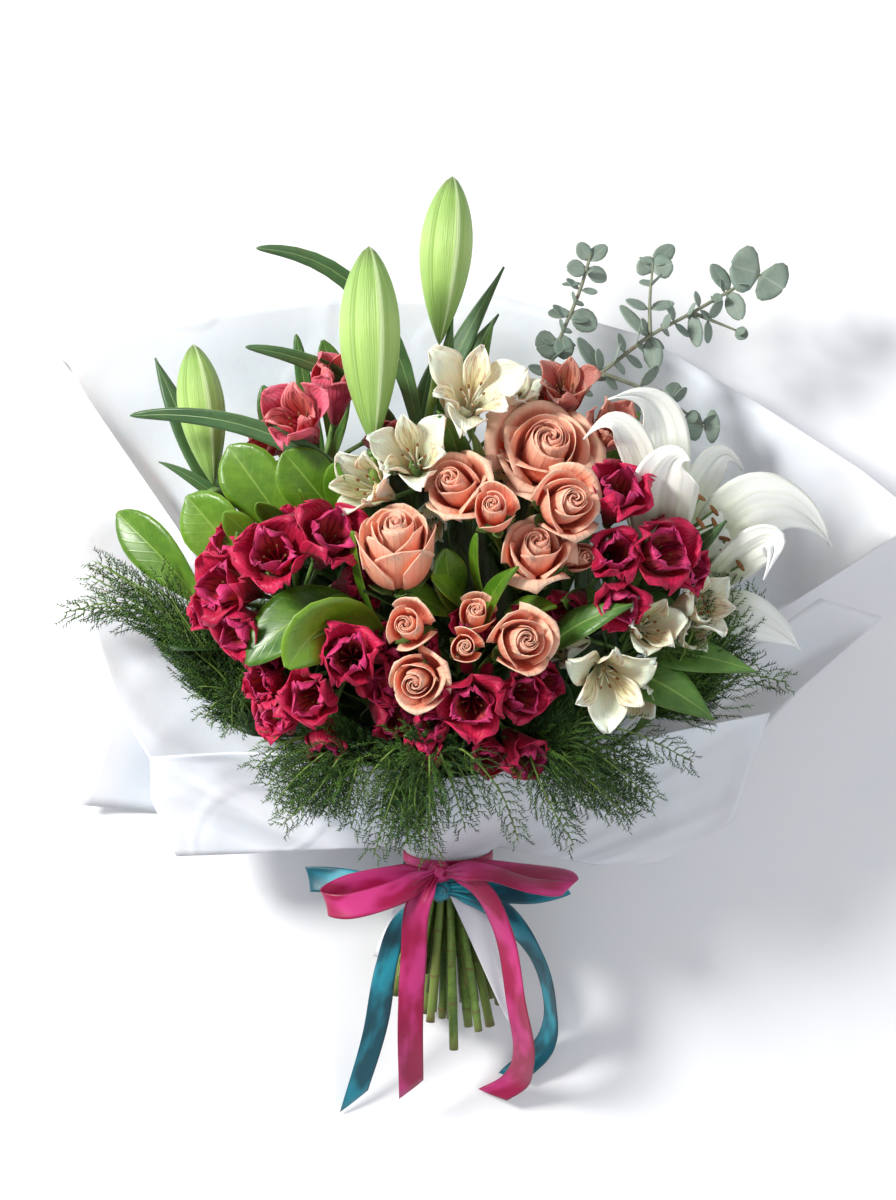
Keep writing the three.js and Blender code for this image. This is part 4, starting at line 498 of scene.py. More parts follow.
# Sheets of wrap: radius round the neck, which side of the stems, how creased, rim and tails
WRAPS = dict(
    wrap_back=dict(
        ring=24.4, front=False, creases=1.2,
        rim=[
            (261, 38, 78), (264, 55, 80), (241, 76, 66), (185, 116, 40), (115, 159, 24), (31, 184, 14),
            (-71, 186, 14), (-161, 173, 16), (-241, 156, 20), (-144, 16, 16), (-174, -24, 12),
            (-201, -66, 12), (-222, -124, 10),
        ],
        tails=[],
    ),
    wrap_left=dict(
        ring=22.6, front=False, creases=2.2,
        rim=[
            (-174, 44, 60), (-224, 60, 58), (-220, 24, 52), (-210, -18, 48), (-196, -62, 50),
            (-175, -94, 54), (-160, -147, 52),
        ],
        tails=[],
    ),
    wrap_right=dict(
        ring=22.6, front=False, creases=2.2,
        rim=[
            (119, -152, 48), (161, -127, 50), (183, -79, 56), (206, -53, 58), (256, -10, 54), (217, 1, 64),
        ],
        tails=[],
    ),
    wrap_collar=dict(
        ring=24.4, front=True, creases=2.6,
        rim=[
            (89, -156, 54), (124, -154, 60), (167, -129, 66), (176, -97, 74), (186, -65, 82),
            (132, -74, 104), (80, -85, 124), (40, -94, 138), (0, -99, 142), (-38, -93, 138),
            (-78, -87, 122), (-122, -87, 94), (-173, -91, 74), (-173, -116, 68), (-159, -150, 62),
        ],
        tails=[
            (18, 78, [(41, -207, 46), (38, -254, 44), (29, -236, 50), (9, -190, 60)]),
            (148, 176, [(-31, -199, 40), (-42, -216, 30), (-49, -208, 26)]),
        ],
    ),
)

# Ribbons: height of the turn round the neck, the knot, and runs of points with the way their width lies
RIBBONS = dict(
    magenta=dict(
        height=4, knot=(-5, -158, 72),
        runs=[
            [
                ((-7, -158, 75), (0, -1, 0.1)),
                ((-32, -169, 90), (0.3, -0.9, 0.3)),
                ((-60, -176, 92), (0.35, -0.9, 0.1)),
                ((-71, -174, 84), (0.3, -0.95, 0)),
                ((-59, -167, 76), (0.3, -0.9, -0.2)),
                ((-28, -161, 73), (0.1, -1, 0)),
                ((-8, -158, 72), (0, -1, 0)),
            ],
            [
                ((-2, -158, 76), (0, -0.9, 0.3)),
                ((21, -156, 90), (0.1, -0.6, 0.8)),
                ((49, -163, 98), (0, -0.5, 0.87)),
                ((70, -165, 90), (-0.6, -0.5, 0.6)),
                ((68, -160, 82), (-0.5, -0.4, 0.75)),
                ((39, -157, 77), (0, -0.6, 0.8)),
                ((-1, -158, 73), (0, -1, 0)),
            ],
            [
                ((-7, -159, 75), (1, 0, 0)),
                ((-17, -175, 84), (1, 0, 0)),
                ((-20, -208, 76), (1, 0, 0)),
                ((-22, -246, 60), (1, 0, 0)),
                ((-22, -293, 26), (1, 0.2, 0)),
            ],
            [
                ((-2, -158, 75), (0.9, -0.2, 0.3)),
                ((18, -166, 84), (0.7, 0.3, 0.6)),
                ((32, -193, 78), (0.7, 0.2, 0.7)),
                ((40, -235, 66), (0.7, 0.2, 0.66)),
                ((45, -268, 42), (0.8, -0.1, 0.5)),
                ((40, -290, 16), (0.8, -0.4, 0.3)),
                ((27, -300, 6), (0.6, -0.8, 0)),
            ],
        ],
    ),
    teal=dict(
        height=-4, knot=(-5, -169, 70),
        runs=[
            [
                ((-7, -168, 71), (0, -1, 0.2)),
                ((-33, -168, 67), (0, -0.9, 0.4)),
                ((-63, -164, 61), (0.1, -0.9, 0.3)),
                ((-82, -164, 55), (0.2, -1, 0)),
                ((-65, -166, 49), (0.1, -0.9, -0.2)),
                ((-32, -170, 55), (0, -0.9, 0.2)),
                ((-7, -169, 68), (0, -1, 0.2)),
            ],
            [
                ((-2, -168, 71), (0, -1, 0.2)),
                ((24, -169, 68), (0, -0.9, 0.4)),
                ((53, -170, 64), (0, -0.9, 0.5)),
                ((68, -166, 58), (0.5, -0.8, 0.3)),
                ((54, -168, 52), (0.2, -0.8, 0.4)),
                ((25, -170, 57), (0, -0.9, 0.3)),
                ((-2, -169, 68), (0, -1, 0.2)),
            ],
            [
                ((-7, -169, 70), (0.9, 0, 0.2)),
                ((-26, -183, 68), (0.8, 0.4, 0.3)),
                ((-36, -213, 58), (0.85, 0.2, 0.4)),
                ((-43, -254, 34), (1, 0.2, 0)),
                ((-57, -304, 5), (1, 0.3, 0)),
            ],
            [
                ((-2, -169, 70), (0.9, 0, 0.2)),
                ((27, -179, 68), (0.8, 0.5, 0.3)),
                ((52, -209, 54), (0.5, 0.2, 0.84)),
                ((61, -240, 34), (0.45, 0.1, 0.9)),
                ((58, -268, 14), (0.7, -0.3, 0.6)),
                ((39, -289, 5), (0.6, -0.8, 0)),
            ],
        ],
    ),
)


# Stems: name, kind, top, and how far each runs below the tie
STEM_TOPS = [
    ("lily_stem_back", "lily", (-17, 84, 84), 98),
    ("lily_stem_left", "lily", (-118, 41, 76), 84),
    ("lily_stem_right", "lily", (117, -12, 74), 92),
    ("rose_front_stem", "rose", (-27, 10, 158), 112),
    ("rose_back_stem", "rose", (51, 73, 128), 101),
    ("spray_rose_high_stem", "rose", (36, 23, 108), 103),
    ("spray_rose_low_stem", "rose", (6, -38, 112), 96),
]
GREEN_TOPS = [
    ("greens_outer_left", "leafy", (-134, -9, 92), 70),
    ("greens_left", "leafy", (-95, 16, 108), 88),
    ("greens_back_left", "leafy", (-55, 34, 112), 80),
    ("greens_front_left", "leafy", (-36, -22, 128), 90),
    ("greens_centre", "leafy", (15, -16, 130), 74),
]
EUCALYPTUS_BELOW = 92
FERN_BELOW = 60


# Lines and directions


def vec(point):
    return np.array(point, float)


def unit(vector):
    vector = vec(vector)
    return vector / np.linalg.norm(vector, axis=-1, keepdims=True)


def lerp(a, b, share):
    return a + (b - a) * share


def smooth(low, high, value):
    """0 below low, 1 above high, and a smooth step between."""
    t = np.clip((value - low) / (high - low), 0, 1)
    return t * t * (3 - 2 * t)


def through(points, steps=8):
    """A smooth line through the points, so many steps to a stretch."""
    p = vec(points)
    p = np.vstack([2 * p[0] - p[1], p, 2 * p[-1] - p[-2]])
    t = np.linspace(0, 1, steps, endpoint=False)[:, None]
    stretches = []
    for a, b, c, d in zip(p, p[1:], p[2:], p[3:]):
        before, here, after = (max(np.linalg.norm(y - x), 1e-6) ** 0.5 for x, y in ((a, b), (b, c), (c, d)))
        start = ((b - a) / before - (c - a) / (before + here) + (c - b) / here) * here
        end = ((c - b) / here - (d - b) / (here + after) + (d - c) / after) * here
        leave = (2 * t**3 - 3 * t**2 + 1) * b + (t**3 - 2 * t**2 + t) * start
        stretches.append(leave + (3 * t**2 - 2 * t**3) * c + (t**3 - t**2) * end)
    return np.vstack([*stretches, p[-2:-1]])


def lengths(line):
    """How far along a line each of its points is."""
    return np.concatenate([[0], np.cumsum(np.linalg.norm(np.diff(line, axis=0), axis=1))])


def at_shares(line, shares):
    """The points of a line at shares of its length."""
    far = lengths(line)
    return np.stack([np.interp(np.asarray(shares) * far[-1], far, line[:, k]) for k in range(3)], axis=-1)


def back_from(line, distance):
    """The point of a line so far back from its end."""
    fine = through(line)
    return at_shares(fine, 1 - distance / lengths(fine)[-1])


def cubic(a, b, c, d, t):
    """The point of a cubic curve from its four control points, for a column of shares."""
    t = np.asarray(t, float)[..., None]
    a, b, c, d = (vec(p) for p in (a, b, c, d))
    s = 1 - t
    return s**3 * a + 3 * s * s * t * b + 3 * s * t * t * c + t**3 * d


def seat(base, direction, roll=0):
    """Moves points from a bloom's own frame, with +Z out of the flower, to where it sits."""
    z = unit(direction)
    hint = UP if abs(z[1]) > 0.95 else vec((0, 1, 0))
    x = unit(np.cross(hint, z))
    y = np.cross(z, x)
    c, s = math.cos(roll), math.sin(roll)
    turn = np.stack([c * x + s * y, c * y - s * x, z])
    return lambda points: np.asarray(points, float) @ turn + vec(base)


def ring_points(turn, radius, height):
    """Points round a bloom's own axis."""
    radius, height, turn = np.broadcast_arrays(radius, height, turn)
    return np.stack([radius * np.cos(turn), radius * np.sin(turn), height], axis=-1)


# Meshes: a piece collects parts, and every point has its place along and across its part


def hull_faces(rows, sides):
    """The faces of a round hull: quads between its rows, and a fan to the point at either end."""
    index = np.arange(rows * sides).reshape(rows, sides)
    after = np.roll(index, -1, axis=1)
    quads = np.stack([index[:-1], after[:-1], after[1:], index[1:]], axis=-1).reshape(-1, 4)
    first = np.stack([np.full(sides, rows * sides), after[0], index[0]], axis=-1)
    last = np.stack([np.full(sides, rows * sides + 1), index[-1], after[-1]], axis=-1)
    return quads, first, last


class Piece:
    """One object of the scene: its points, faces, materials and the values its materials read."""

    def __init__(self, name, slot, *materials):
        self.name, self.slot, self.materials = name, slot, materials
        self.points, self.marks, self.faces, self.kinds, self.count = [], [], [], [], 0

    def add(self, points, faces, kind, along=0.0, across=0.0, tone=0.5):
        points = np.asarray(points, float).reshape(-1, 3)
        marks = [np.broadcast_to(np.asarray(m, float).ravel(), len(points)) for m in (along, across, tone)]
        self.points.append(points)
        self.marks.append(np.stack(marks, axis=1))
        for block in faces:
            block = np.asarray(block, int) + self.count
            self.faces += block.tolist()
            self.kinds += [kind] * len(block)
        self.count += len(points)

    def sheet(self, grid, thickness, kind, tone, marks):
        """A thin closed skin on a grid of points, rows along it and columns across it."""
        rows, columns = grid.shape[:2]
        down = np.gradient(grid, axis=0)
        side = np.gradient(grid, axis=1)
        normal = np.cross(side, down)
        normal = normal / np.maximum(np.linalg.norm(normal, axis=2, keepdims=True), 1e-9)
        v, u = marks
        half = thickness / 2 * normal
        index = np.arange(rows * columns).reshape(rows, columns)
        a, b, c, d = index[:-1, :-1], index[:-1, 1:], index[1:, 1:], index[1:, :-1]
        top = np.stack([a, b, c, d], axis=-1).reshape(-1, 4)
        rim = np.concatenate([index[0], index[1:, -1], index[-1, -2::-1], index[-2:0:-1, 0]])
        after = np.roll(rim, -1)
        under = rows * columns
        edge = np.stack([after, rim, rim + under, after + under], axis=-1)
        points = np.concatenate([(grid + half).reshape(-1, 3), (grid - half).reshape(-1, 3)])
        blocks = [top, top[:, ::-1] + under, edge]
        self.add(points, blocks, kind, np.tile(v.ravel(), 2), np.tile(u.ravel(), 2), tone)

    def tube(self, line, radius, sides=8, kind=0, tone=0.5, cut=None):
        """A round stalk along a line, with a radius for each of its points. cut is the kind of a flat
        start; a stalk without one has small points at both ends."""
        line = vec(line)
        radius = np.broadcast_to(np.asarray(radius, float), len(line))
        tangent = unit(np.gradient(line, axis=0))
        side = np.cross(tangent[0], UP if abs(tangent[0][2]) < 0.9 else RIGHT)
        across = []
        for t in tangent:
            side = side - t * np.dot(side, t)
            side = side / max(np.linalg.norm(side), 1e-9)
            across.append(side)
        across = np.stack(across)
        other = np.cross(tangent, across)
        turn = np.arange(sides) * 2 * math.pi / sides
        cosines, sines = np.cos(turn)[None, :, None], np.sin(turn)[None, :, None]
        ring = across[:, None] * cosines + other[:, None] * sines
        body = line[:, None] + ring * radius[:, None, None]
        lift = 0.5 if cut is None else 0
        bulge = tangent[[0, -1]] * radius[[0, -1], None] * lift
        caps = np.stack([line[0] - bulge[0], line[-1] + bulge[1]])
        quads, start, end = hull_faces(len(line), sides)
        v = np.repeat(lengths(line) / max(lengths(line)[-1], 1e-9), sides)
        u = np.tile(np.cos(turn), len(line))
        points = np.concatenate([body.reshape(-1, 3), caps])
        blocks = [quads, start, end] if cut is None else [quads, end]
        self.add(points, blocks, kind, np.append(v, [0, 1]), np.append(u, [0, 0]), tone)
        if cut is not None:
            self.faces += (start + self.count - len(points)).tolist()
            self.kinds += [cut] * len(start)

    def lathe(self, outline, to, sides=16, kind=0, tone=0.5, shape=None):
        """A closed solid round a bloom's own axis, from [radius, height] pairs that end on it."""
        outline = vec(outline)
        turn = np.arange(sides) * 2 * math.pi / sides
        inner = outline[1:-1]
        radius = inner[:, :1] * (shape(turn, np.linspace(0, 1, len(inner))[:, None]) if shape else 1)
        body = ring_points(turn[None, :], radius, inner[:, 1:])
        rows = len(inner)
        ends = np.array([[0, 0, outline[0, 1]], [0, 0, outline[-1, 1]]])
        points = to(np.concatenate([body.reshape(-1, 3), ends]))
        v = np.append(np.repeat(np.linspace(0, 1, rows), sides), [0, 1])
        u = np.append(np.tile(turn / math.pi - 1, rows), [0, 0])
        self.add(points, hull_faces(rows, sides), kind, v, u, tone)

    def ball(self, centre, direction, radii, sides=10, kind=0):
        """A ball stretched along a direction."""
        turn = np.linspace(-math.pi / 2, math.pi / 2, 8)
        outline = np.stack([radii[0] * np.cos(turn), radii[1] * np.sin(turn)], axis=1)
        outline[[0, -1], 0] = 0
        self.lathe(outline, seat(centre, direction), sides, kind)

    def spikes(self, starts, ends, radius, kind=0, tone=0.5):
        """Three-sided needles from one set of points to another."""
        run = unit(ends - starts)
        side = unit(np.cross(run, UP + 0.01))
        other = np.cross(run, side)
        turns = (0, 2 * math.pi / 3, 4 * math.pi / 3)
        corners = [starts + radius * (math.cos(t) * side + math.sin(t) * other) for t in turns]
        points = np.stack([*corners, ends], axis=1)
        first = 4 * np.arange(len(starts))[:, None]
        faces = np.concatenate([first + np.array(f) for f in ((0, 1, 3), (1, 2, 3), (2, 0, 3), (0, 2, 1))])
        self.add(points, [faces], kind, np.tile([0, 0, 0, 1], len(starts)), 0, tone)

    def finish(self, node):
        """Makes the object, which stands for its CAD node and rides with the bouquet."""
        mesh = bpy.data.meshes.new(self.name)
        mesh.from_pydata((np.concatenate(self.points) * MM).tolist(), [], self.faces)
        for material in self.materials:
            mesh.materials.append(material)
        mesh.polygons.foreach_set("material_index", self.kinds)
        mesh.polygons.foreach_set("use_smooth", [True] * len(self.faces))
        marks = np.concatenate(self.marks)
        for k, name in enumerate(("along", "across", "tone")):
            values = marks[:, k].astype(np.float32)
            mesh.attributes.new(name, "FLOAT", "POINT").data.foreach_set("value", values)
        mesh.update()
        made = bpy.data.objects.new(self.name, mesh)
        bpy.context.scene.collection.objects.link(made)
        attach(made, "root")
        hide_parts(node)
        return made


# Materials


class Tree:
    """A node tree, with a short way to add and join its nodes."""

    def __init__(self, tree):
        self.tree = tree

    def add(self, kind, inputs=(), **settings):
        node = self.tree.nodes.new("ShaderNode" + kind)
        for name, value in settings.items():
            setattr(node, name, value)
        for socket, value in dict(inputs).items():
            self.feed(node.inputs[socket], value)
        return node

    def feed(self, socket, value):
        if isinstance(value, bpy.types.NodeSocket):
            self.tree.links.new(value, socket)
        else:
            socket.default_value = value

    def maths(self, operation, a, b=0.0, clamp=False):
        return self.add("Math", {0: a, 1: b}, operation=operation, use_clamp=clamp).outputs[0]

    def times(self, a, b):
        return self.maths("MULTIPLY", a, b)

    def plus(self, a, b, clamp=False):
        return self.maths("ADD", a, b, clamp)

    def minus(self, a, b):
        return self.maths("SUBTRACT", a, b)

    def rest(self, a):
        return self.maths("SUBTRACT", 1.0, a)

    def size(self, a):
        return self.maths("ABSOLUTE", a)

    def sine(self, a):
        return self.maths("SINE", a)

    def step(self, value, low, high):
        inputs = {"Value": value, "From Min": low, "From Max": high}
        return self.add("MapRange", inputs, interpolation_type="SMOOTHSTEP").outputs[0]

    def mix(self, share, a, b):
        node = self.add("Mix", data_type="RGBA")
        for index, value in ((0, share), (6, a), (7, b)):
            self.feed(node.inputs[index], value)
        return node.outputs[2]

    def blend(self, share, dark, light):
        """A colour between two, by a share that changes over the surface."""
        return self.mix(share, (*dark, 1), (*light, 1))

    def tint(self, colour, where, share, other):
        """A colour with a share of another where a mask says so."""
        return self.mix(self.times(where, share), colour, (*other, 1))

    def ramp(self, value, stops):
        node = self.add("ValToRGB", {"Fac": value})
        elements = node.color_ramp.elements
        while len(elements) < len(stops):
            elements.new(0.5)
        for element, (place, colour) in zip(elements, stops):
            element.position = place
            element.color = (*colour, 1)
        return node.outputs[0]

    def mark(self, name):
        return self.add("Attribute", attribute_name=name).outputs["Fac"]

    def noise(self, scale, detail=3.0, rough=0.55, vector=None):
        inputs = {"Scale": scale, "Detail": detail, "Roughness": rough}
        if vector is None:
            vector = self.add("TexCoord").outputs["Object"]
        return self.add("TexNoise", {"Vector": vector, **inputs}).outputs[0]

    def stretched(self, x, y, z=0.0):
        return self.add("CombineXYZ", {0: x, 1: y, 2: z}).outputs[0]

    def bump(self, height, strength, distance):
        inputs = {"Height": height, "Strength": strength, "Distance": distance}
        return self.add("Bump", inputs).outputs[0]


def group(name, inputs, outputs, build):
    """A node group for several materials. build gets its tree and inputs, and returns its outputs."""
    made = bpy.data.node_groups.new(name, "ShaderNodeTree")
    for given, value in inputs.items():
        socket = made.interface.new_socket(given, in_out="INPUT", socket_type="NodeSocketFloat")
        socket.default_value = value
    for result, kind in outputs.items():
        made.interface.new_socket(result, in_out="OUTPUT", socket_type="NodeSocket" + kind)
    tree = Tree(made)
    start, end = made.nodes.new("NodeGroupInput"), made.nodes.new("NodeGroupOutput")
    for socket, value in build(tree, start.outputs).items():
        tree.feed(end.inputs[socket], value)
    return made


def vein_group(tree, given):
    """Fine veins that fan out along a petal."""
    across = tree.times(given["Across"], given["Count"])
    bent = tree.times(tree.noise(90), 3.0)
    wave = tree.sine(tree.plus(across, bent))
    lines = tree.step(wave, 0.2, 1.0)
    return {"Veins": lines, "Normal": tree.bump(lines, given["Depth"], 0.0006)}


def rib_group(tree, given):
    """A leaf's midrib and the veins that leave it."""
    side = tree.size(given["Across"])
    rib = tree.rest(tree.step(side, 0.02, given["Width"]))
    slant = tree.minus(tree.times(given["Along"], given["Count"]), tree.times(side, given["Slant"]))
    wave = tree.sine(tree.plus(slant, tree.times(tree.noise(60), 2.0)))
    veins = tree.times(tree.step(wave, 0.75, 1.0), 0.5)
    height = tree.minus(veins, tree.times(rib, 1.5))
    return {"Rib": rib, "Veins": veins, "Normal": tree.bump(height, given["Depth"], 0.0008)}


def mottle_group(tree, given):
    """Uneven colour, from light patches to dark ones."""
    coarse = tree.noise(given["Scale"], 4.0, 0.6)
    fine = tree.noise(tree.times(given["Scale"], 6.0), 3.0, 0.7)
    both = tree.plus(tree.times(coarse, 0.65), tree.times(fine, 0.35))
    return {"Mottle": tree.step(both, 0.36, 0.64)}


RIB = {"Width": 0.09, "Count": 60, "Slant": 14, "Depth": 0.4}


def make_groups():
    return {
        "veins": group(
            "petal veins",
            {"Across": 0, "Count": 34, "Depth": 0.3},
            {"Veins": "Float", "Normal": "Vector"},
            vein_group,
        ),
        "rib": group(
            "leaf ribs",
            {"Along": 0, "Across": 0, **RIB},
            {"Rib": "Float", "Veins": "Float", "Normal": "Vector"},
            rib_group,
        ),
        "mottle": group("mottle", {"Scale": 60}, {"Mottle": "Float"}, mottle_group),
    }


class Look(Tree):
    """A material round one Principled shader."""

    def __init__(self, name, **constants):
        self.material = bpy.data.materials.new(name)
        self.material.use_nodes = True
        super().__init__(self.material.node_tree)
        self.shader = self.tree.nodes["Principled BSDF"]
        for socket, value in constants.items():
            self.shader.inputs[socket.replace("_", " ")].default_value = value

    def use(self, name, inputs=()):
        node = self.tree.nodes.new("ShaderNodeGroup")
        node.node_tree = GROUPS[name]
        for socket, value in dict(inputs).items():
            self.feed(node.inputs[socket], value)
        return node.outputs

    def done(self, **fed):
        for socket, value in fed.items():
            self.feed(self.shader.inputs[socket.replace("_", " ")], value)
        return self.material


def shade(colour, by):
    return tuple(min(1.0, c * by) for c in colour)


def petal_look(name, deep, middle, rim, veins=0.25, count=34, roughness=0.5, glow=0.35, marked=None):
    """A petal: deep colour in its throat, lighter at its rim and its sides, with fine veins. The deep
    throat is partly the petal's own colour and partly painted shade, and the lighter rim and sides
    are partly its own colour and partly painted highlight. marked adds the yellow patch and the
    dark dashes of an alstroemeria's inner tepal."""
    light = dict(Subsurface_Weight=glow, Subsurface_Scale=0.004)
    look = Look(name, Sheen_Weight=0.05, Specular_IOR_Level=0.3, **light)
    along, across, tone = look.mark("along"), look.mark("across"), look.mark("tone")
    # Partly painted light: the deep throat colour also stands for shade, and the light rim colour for
    # highlight
    colour = look.ramp(along, [(0.08, deep), (0.5, middle), (0.97, rim)])
    # Lighter toward the petal's sides, partly painted highlight along its edges
    edge = look.step(look.size(across), 0.72, 1.0)
    colour = look.tint(colour, edge, 0.55, rim)
    petal_veins = look.use("veins", {"Across": across, "Count": count, "Depth": 0.35})
    colour = look.tint(colour, petal_veins["Veins"], veins, deep)
    if marked:
        yellow, dash, patch_share = marked
        inside = look.rest(look.step(look.size(across), 0.35, 0.85))
        middle_part = look.times(look.step(along, 0.3, 0.45), look.rest(look.step(along, 0.62, 0.85)))
        patch = look.times(inside, middle_part)
        colour = look.tint(colour, patch, patch_share, yellow)
        stretched = look.stretched(look.times(across, 9.0), look.times(along, 4.5), tone)
        dashes = look.step(look.noise(1.0, 0.0, 0.5, stretched), 0.56, 0.62)
        reach = look.times(look.step(along, 0.2, 0.35), look.rest(look.step(along, 0.8, 0.95)))
        colour = look.tint(colour, look.times(dashes, reach), 0.65, dash)
    mottled = look.use("mottle", {"Scale": 70})["Mottle"]
    colour = look.tint(colour, mottled, 0.16, shade(rim, 1.08))
    # A low tone takes a petal toward its deep colour: at random in alstroemerias and lilies, and as painted
    # shade toward a rose's heart
    colour = look.tint(colour, look.rest(tone), 0.45, deep)
    rough = look.plus(look.times(mottled, 0.12), roughness - 0.06)
    return look.done(Base_Color=colour, Roughness=rough, Normal=petal_veins["Normal"])


def leaf_look(name, dark, light, rib, roughness=0.38, pale_rib=0.6, **shape):
    """A leaf: uneven green with a paler midrib, and a thin light edge that is a painted highlight. shape is
    the rib's and the veins' Width, Count, Slant and Depth."""
    look = Look(name, Subsurface_Weight=0.08, Subsurface_Scale=0.003, Specular_IOR_Level=0.5)
    along, across, tone = look.mark("along"), look.mark("across"), look.mark("tone")
    mottled = look.use("mottle", {"Scale": 35})["Mottle"]
    share = look.plus(look.times(mottled, 0.45), look.times(tone, 0.55), clamp=True)
    colour = look.blend(share, dark, light)
    ribs = look.use("rib", {"Along": along, "Across": across, **RIB, **shape})
    colour = look.tint(colour, ribs["Veins"], 0.35, light)
    colour = look.tint(colour, ribs["Rib"], pale_rib, rib)
    # Painted highlight: a thin light line along the leaf's edge
    edge = look.step(look.size(across), 0.93, 1.0)
    colour = look.tint(colour, edge, 0.35, rib)
    foot = look.rest(look.step(along, 0.0, 0.3))
    colour = look.tint(colour, foot, 0.3, rib)
    rough = look.plus(look.times(mottled, 0.14), roughness - 0.07)
    return look.done(Base_Color=colour, Roughness=rough, Normal=ribs["Normal"])


def bud_look():
    """A closed lily bud: three tepals with pale ribs and seams, darker to the foot and the tip. The pale
    ribs are partly their own colour and partly painted highlight on the ridges, and the dark seams are
    painted shade in their grooves.
    """
    look = Look("lily bud skin", Subsurface_Weight=0.12, Subsurface_Scale=0.004, Specular_IOR_Level=0.45)
    along, across = look.mark("along"), look.mark("across")
    stops = [
        (0.0, (0.10, 0.22, 0.03)), (0.2, (0.23, 0.42, 0.07)), (0.6, (0.36, 0.56, 0.13)),
        (0.9, (0.22, 0.40, 0.07)), (1.0, (0.10, 0.18, 0.03)),
    ]
    skin = look.ramp(along, stops)
    side = look.size(across)
    rib = look.rest(look.step(side, 0.02, 0.16))
    seam = look.step(side, 0.88, 1.0)
    stretched = look.stretched(look.times(across, 26.0), look.times(along, 2.5))
    lines = look.step(look.noise(1.0, 4.0, 0.6, stretched), 0.42, 0.62)
    skin = look.tint(skin, lines, 0.4, (0.52, 0.70, 0.26))
    # Paler along each tepal's rib, partly its own colour and partly painted highlight on the ridge
    skin = look.tint(skin, rib, 0.75, (0.66, 0.82, 0.42))
    # Painted shade in the grooves along the seams
    skin = look.tint(skin, seam, 0.7, (0.10, 0.24, 0.03))
    height = look.minus(look.times(lines, 0.4), seam)
    return look.done(Base_Color=skin, Roughness=0.42, Normal=look.bump(height, 0.5, 0.0008))


def stem_look(name, low, high, node):
    """A stem: brownish at the cut, greener above, with the marks of its nodes."""
    look = Look(name, Specular_IOR_Level=0.4)
    along, tone = look.mark("along"), look.mark("tone")
    mottled = look.use("mottle", {"Scale": 90})["Mottle"]
    colour = look.blend(look.plus(look.times(mottled, 0.5), look.times(tone, 0.5)), low, high)
    stretched = look.stretched(look.times(look.mark("across"), 14.0), look.times(along, 12.0), tone)
    lines = look.noise(1.0, 3.0, 0.6, stretched)
    colour = look.tint(colour, look.step(lines, 0.5, 0.7), 0.3, high)
    rings = look.step(look.sine(look.plus(look.times(along, 55.0), look.times(tone, 9.0))), 0.965, 1.0)
    woody = look.times(look.step(tone, 0.72, 0.9), look.step(mottled, 0.1, 0.9))
    colour = look.tint(colour, woody, 0.55, node)
    colour = look.tint(colour, rings, 0.7, node)
    cut = look.rest(look.step(along, 0.0, 0.05))
    colour = look.tint(colour, cut, 0.5, node)
    normal = look.bump(look.plus(lines, rings), 0.35, 0.0008)
    return look.done(Base_Color=colour, Roughness=0.45, Normal=normal)


def plain_look(name, dark, light, scale, roughness, bump=0.3):
    """A small matter of two mottled colours, such as an anther, a cut end or a calyx."""
    look = Look(name)
    mottled = look.use("mottle", {"Scale": scale})["Mottle"]
    colour = look.blend(mottled, dark, light)
    return look.done(Base_Color=colour, Roughness=roughness, Normal=look.bump(mottled, bump, 0.0004))


def needle_look():
    """Asparagus fern: dark needles with brighter tips, some sprays bluer and some fresher."""
    look = Look("fern needles", Specular_IOR_Level=0.35)
    along, tone = look.mark("along"), look.mark("tone")
    mottled = look.use("mottle", {"Scale": 25})["Mottle"]
    base = look.blend(mottled, (0.004, 0.022, 0.010), (0.014, 0.055, 0.012))
    fresh = look.blend(tone, (0.012, 0.05, 0.022), (0.11, 0.26, 0.024))
    colour = look.mix(look.times(look.plus(along, tone), 0.5), base, fresh)
    return look.done(Base_Color=colour, Roughness=0.5)


def wrap_look():
    """Frosted wrap: milky film with a faint blue shade, soft creases and a fine grain, and a pink tint low
    down near the neck that is painted show-through of the pink ribbons and flowers.
    """
    look = Look("frosted wrap film", Specular_IOR_Level=0.4, Subsurface_Weight=0.1, Subsurface_Scale=0.01)
    along = look.mark("along")
    cloud = look.noise(9.0, 4.0, 0.55)
    colour = look.blend(look.step(cloud, 0.35, 0.7), (0.77, 0.80, 0.86), (0.93, 0.93, 0.95))
    # Painted show-through: a pink tint low on the film, near the neck, for the pink ribbons and flowers
    # seen through it
    low = look.rest(look.step(along, 0.15, 0.5))
    colour = look.tint(colour, low, 0.22, (0.86, 0.60, 0.68))
    grain = look.noise(900.0, 2.0, 0.6)
    crease = look.noise(30.0, 5.0, 0.65)
    swell = look.noise(6.0, 2.0, 0.4)
    away = look.size(look.minus(swell, 0.5))
    lines = look.rest(look.step(away, 0.0, 0.022))
    height = look.plus(look.times(grain, 0.12), look.plus(crease, look.times(lines, 0.9)))
    rough = look.plus(look.times(cloud, 0.25), 0.3)
    alpha = look.minus(0.97, look.times(look.step(cloud, 0.45, 0.75), 0.1))
    return look.done(Base_Color=colour, Roughness=rough, Alpha=alpha, Normal=look.bump(height, 0.25, 0.002))


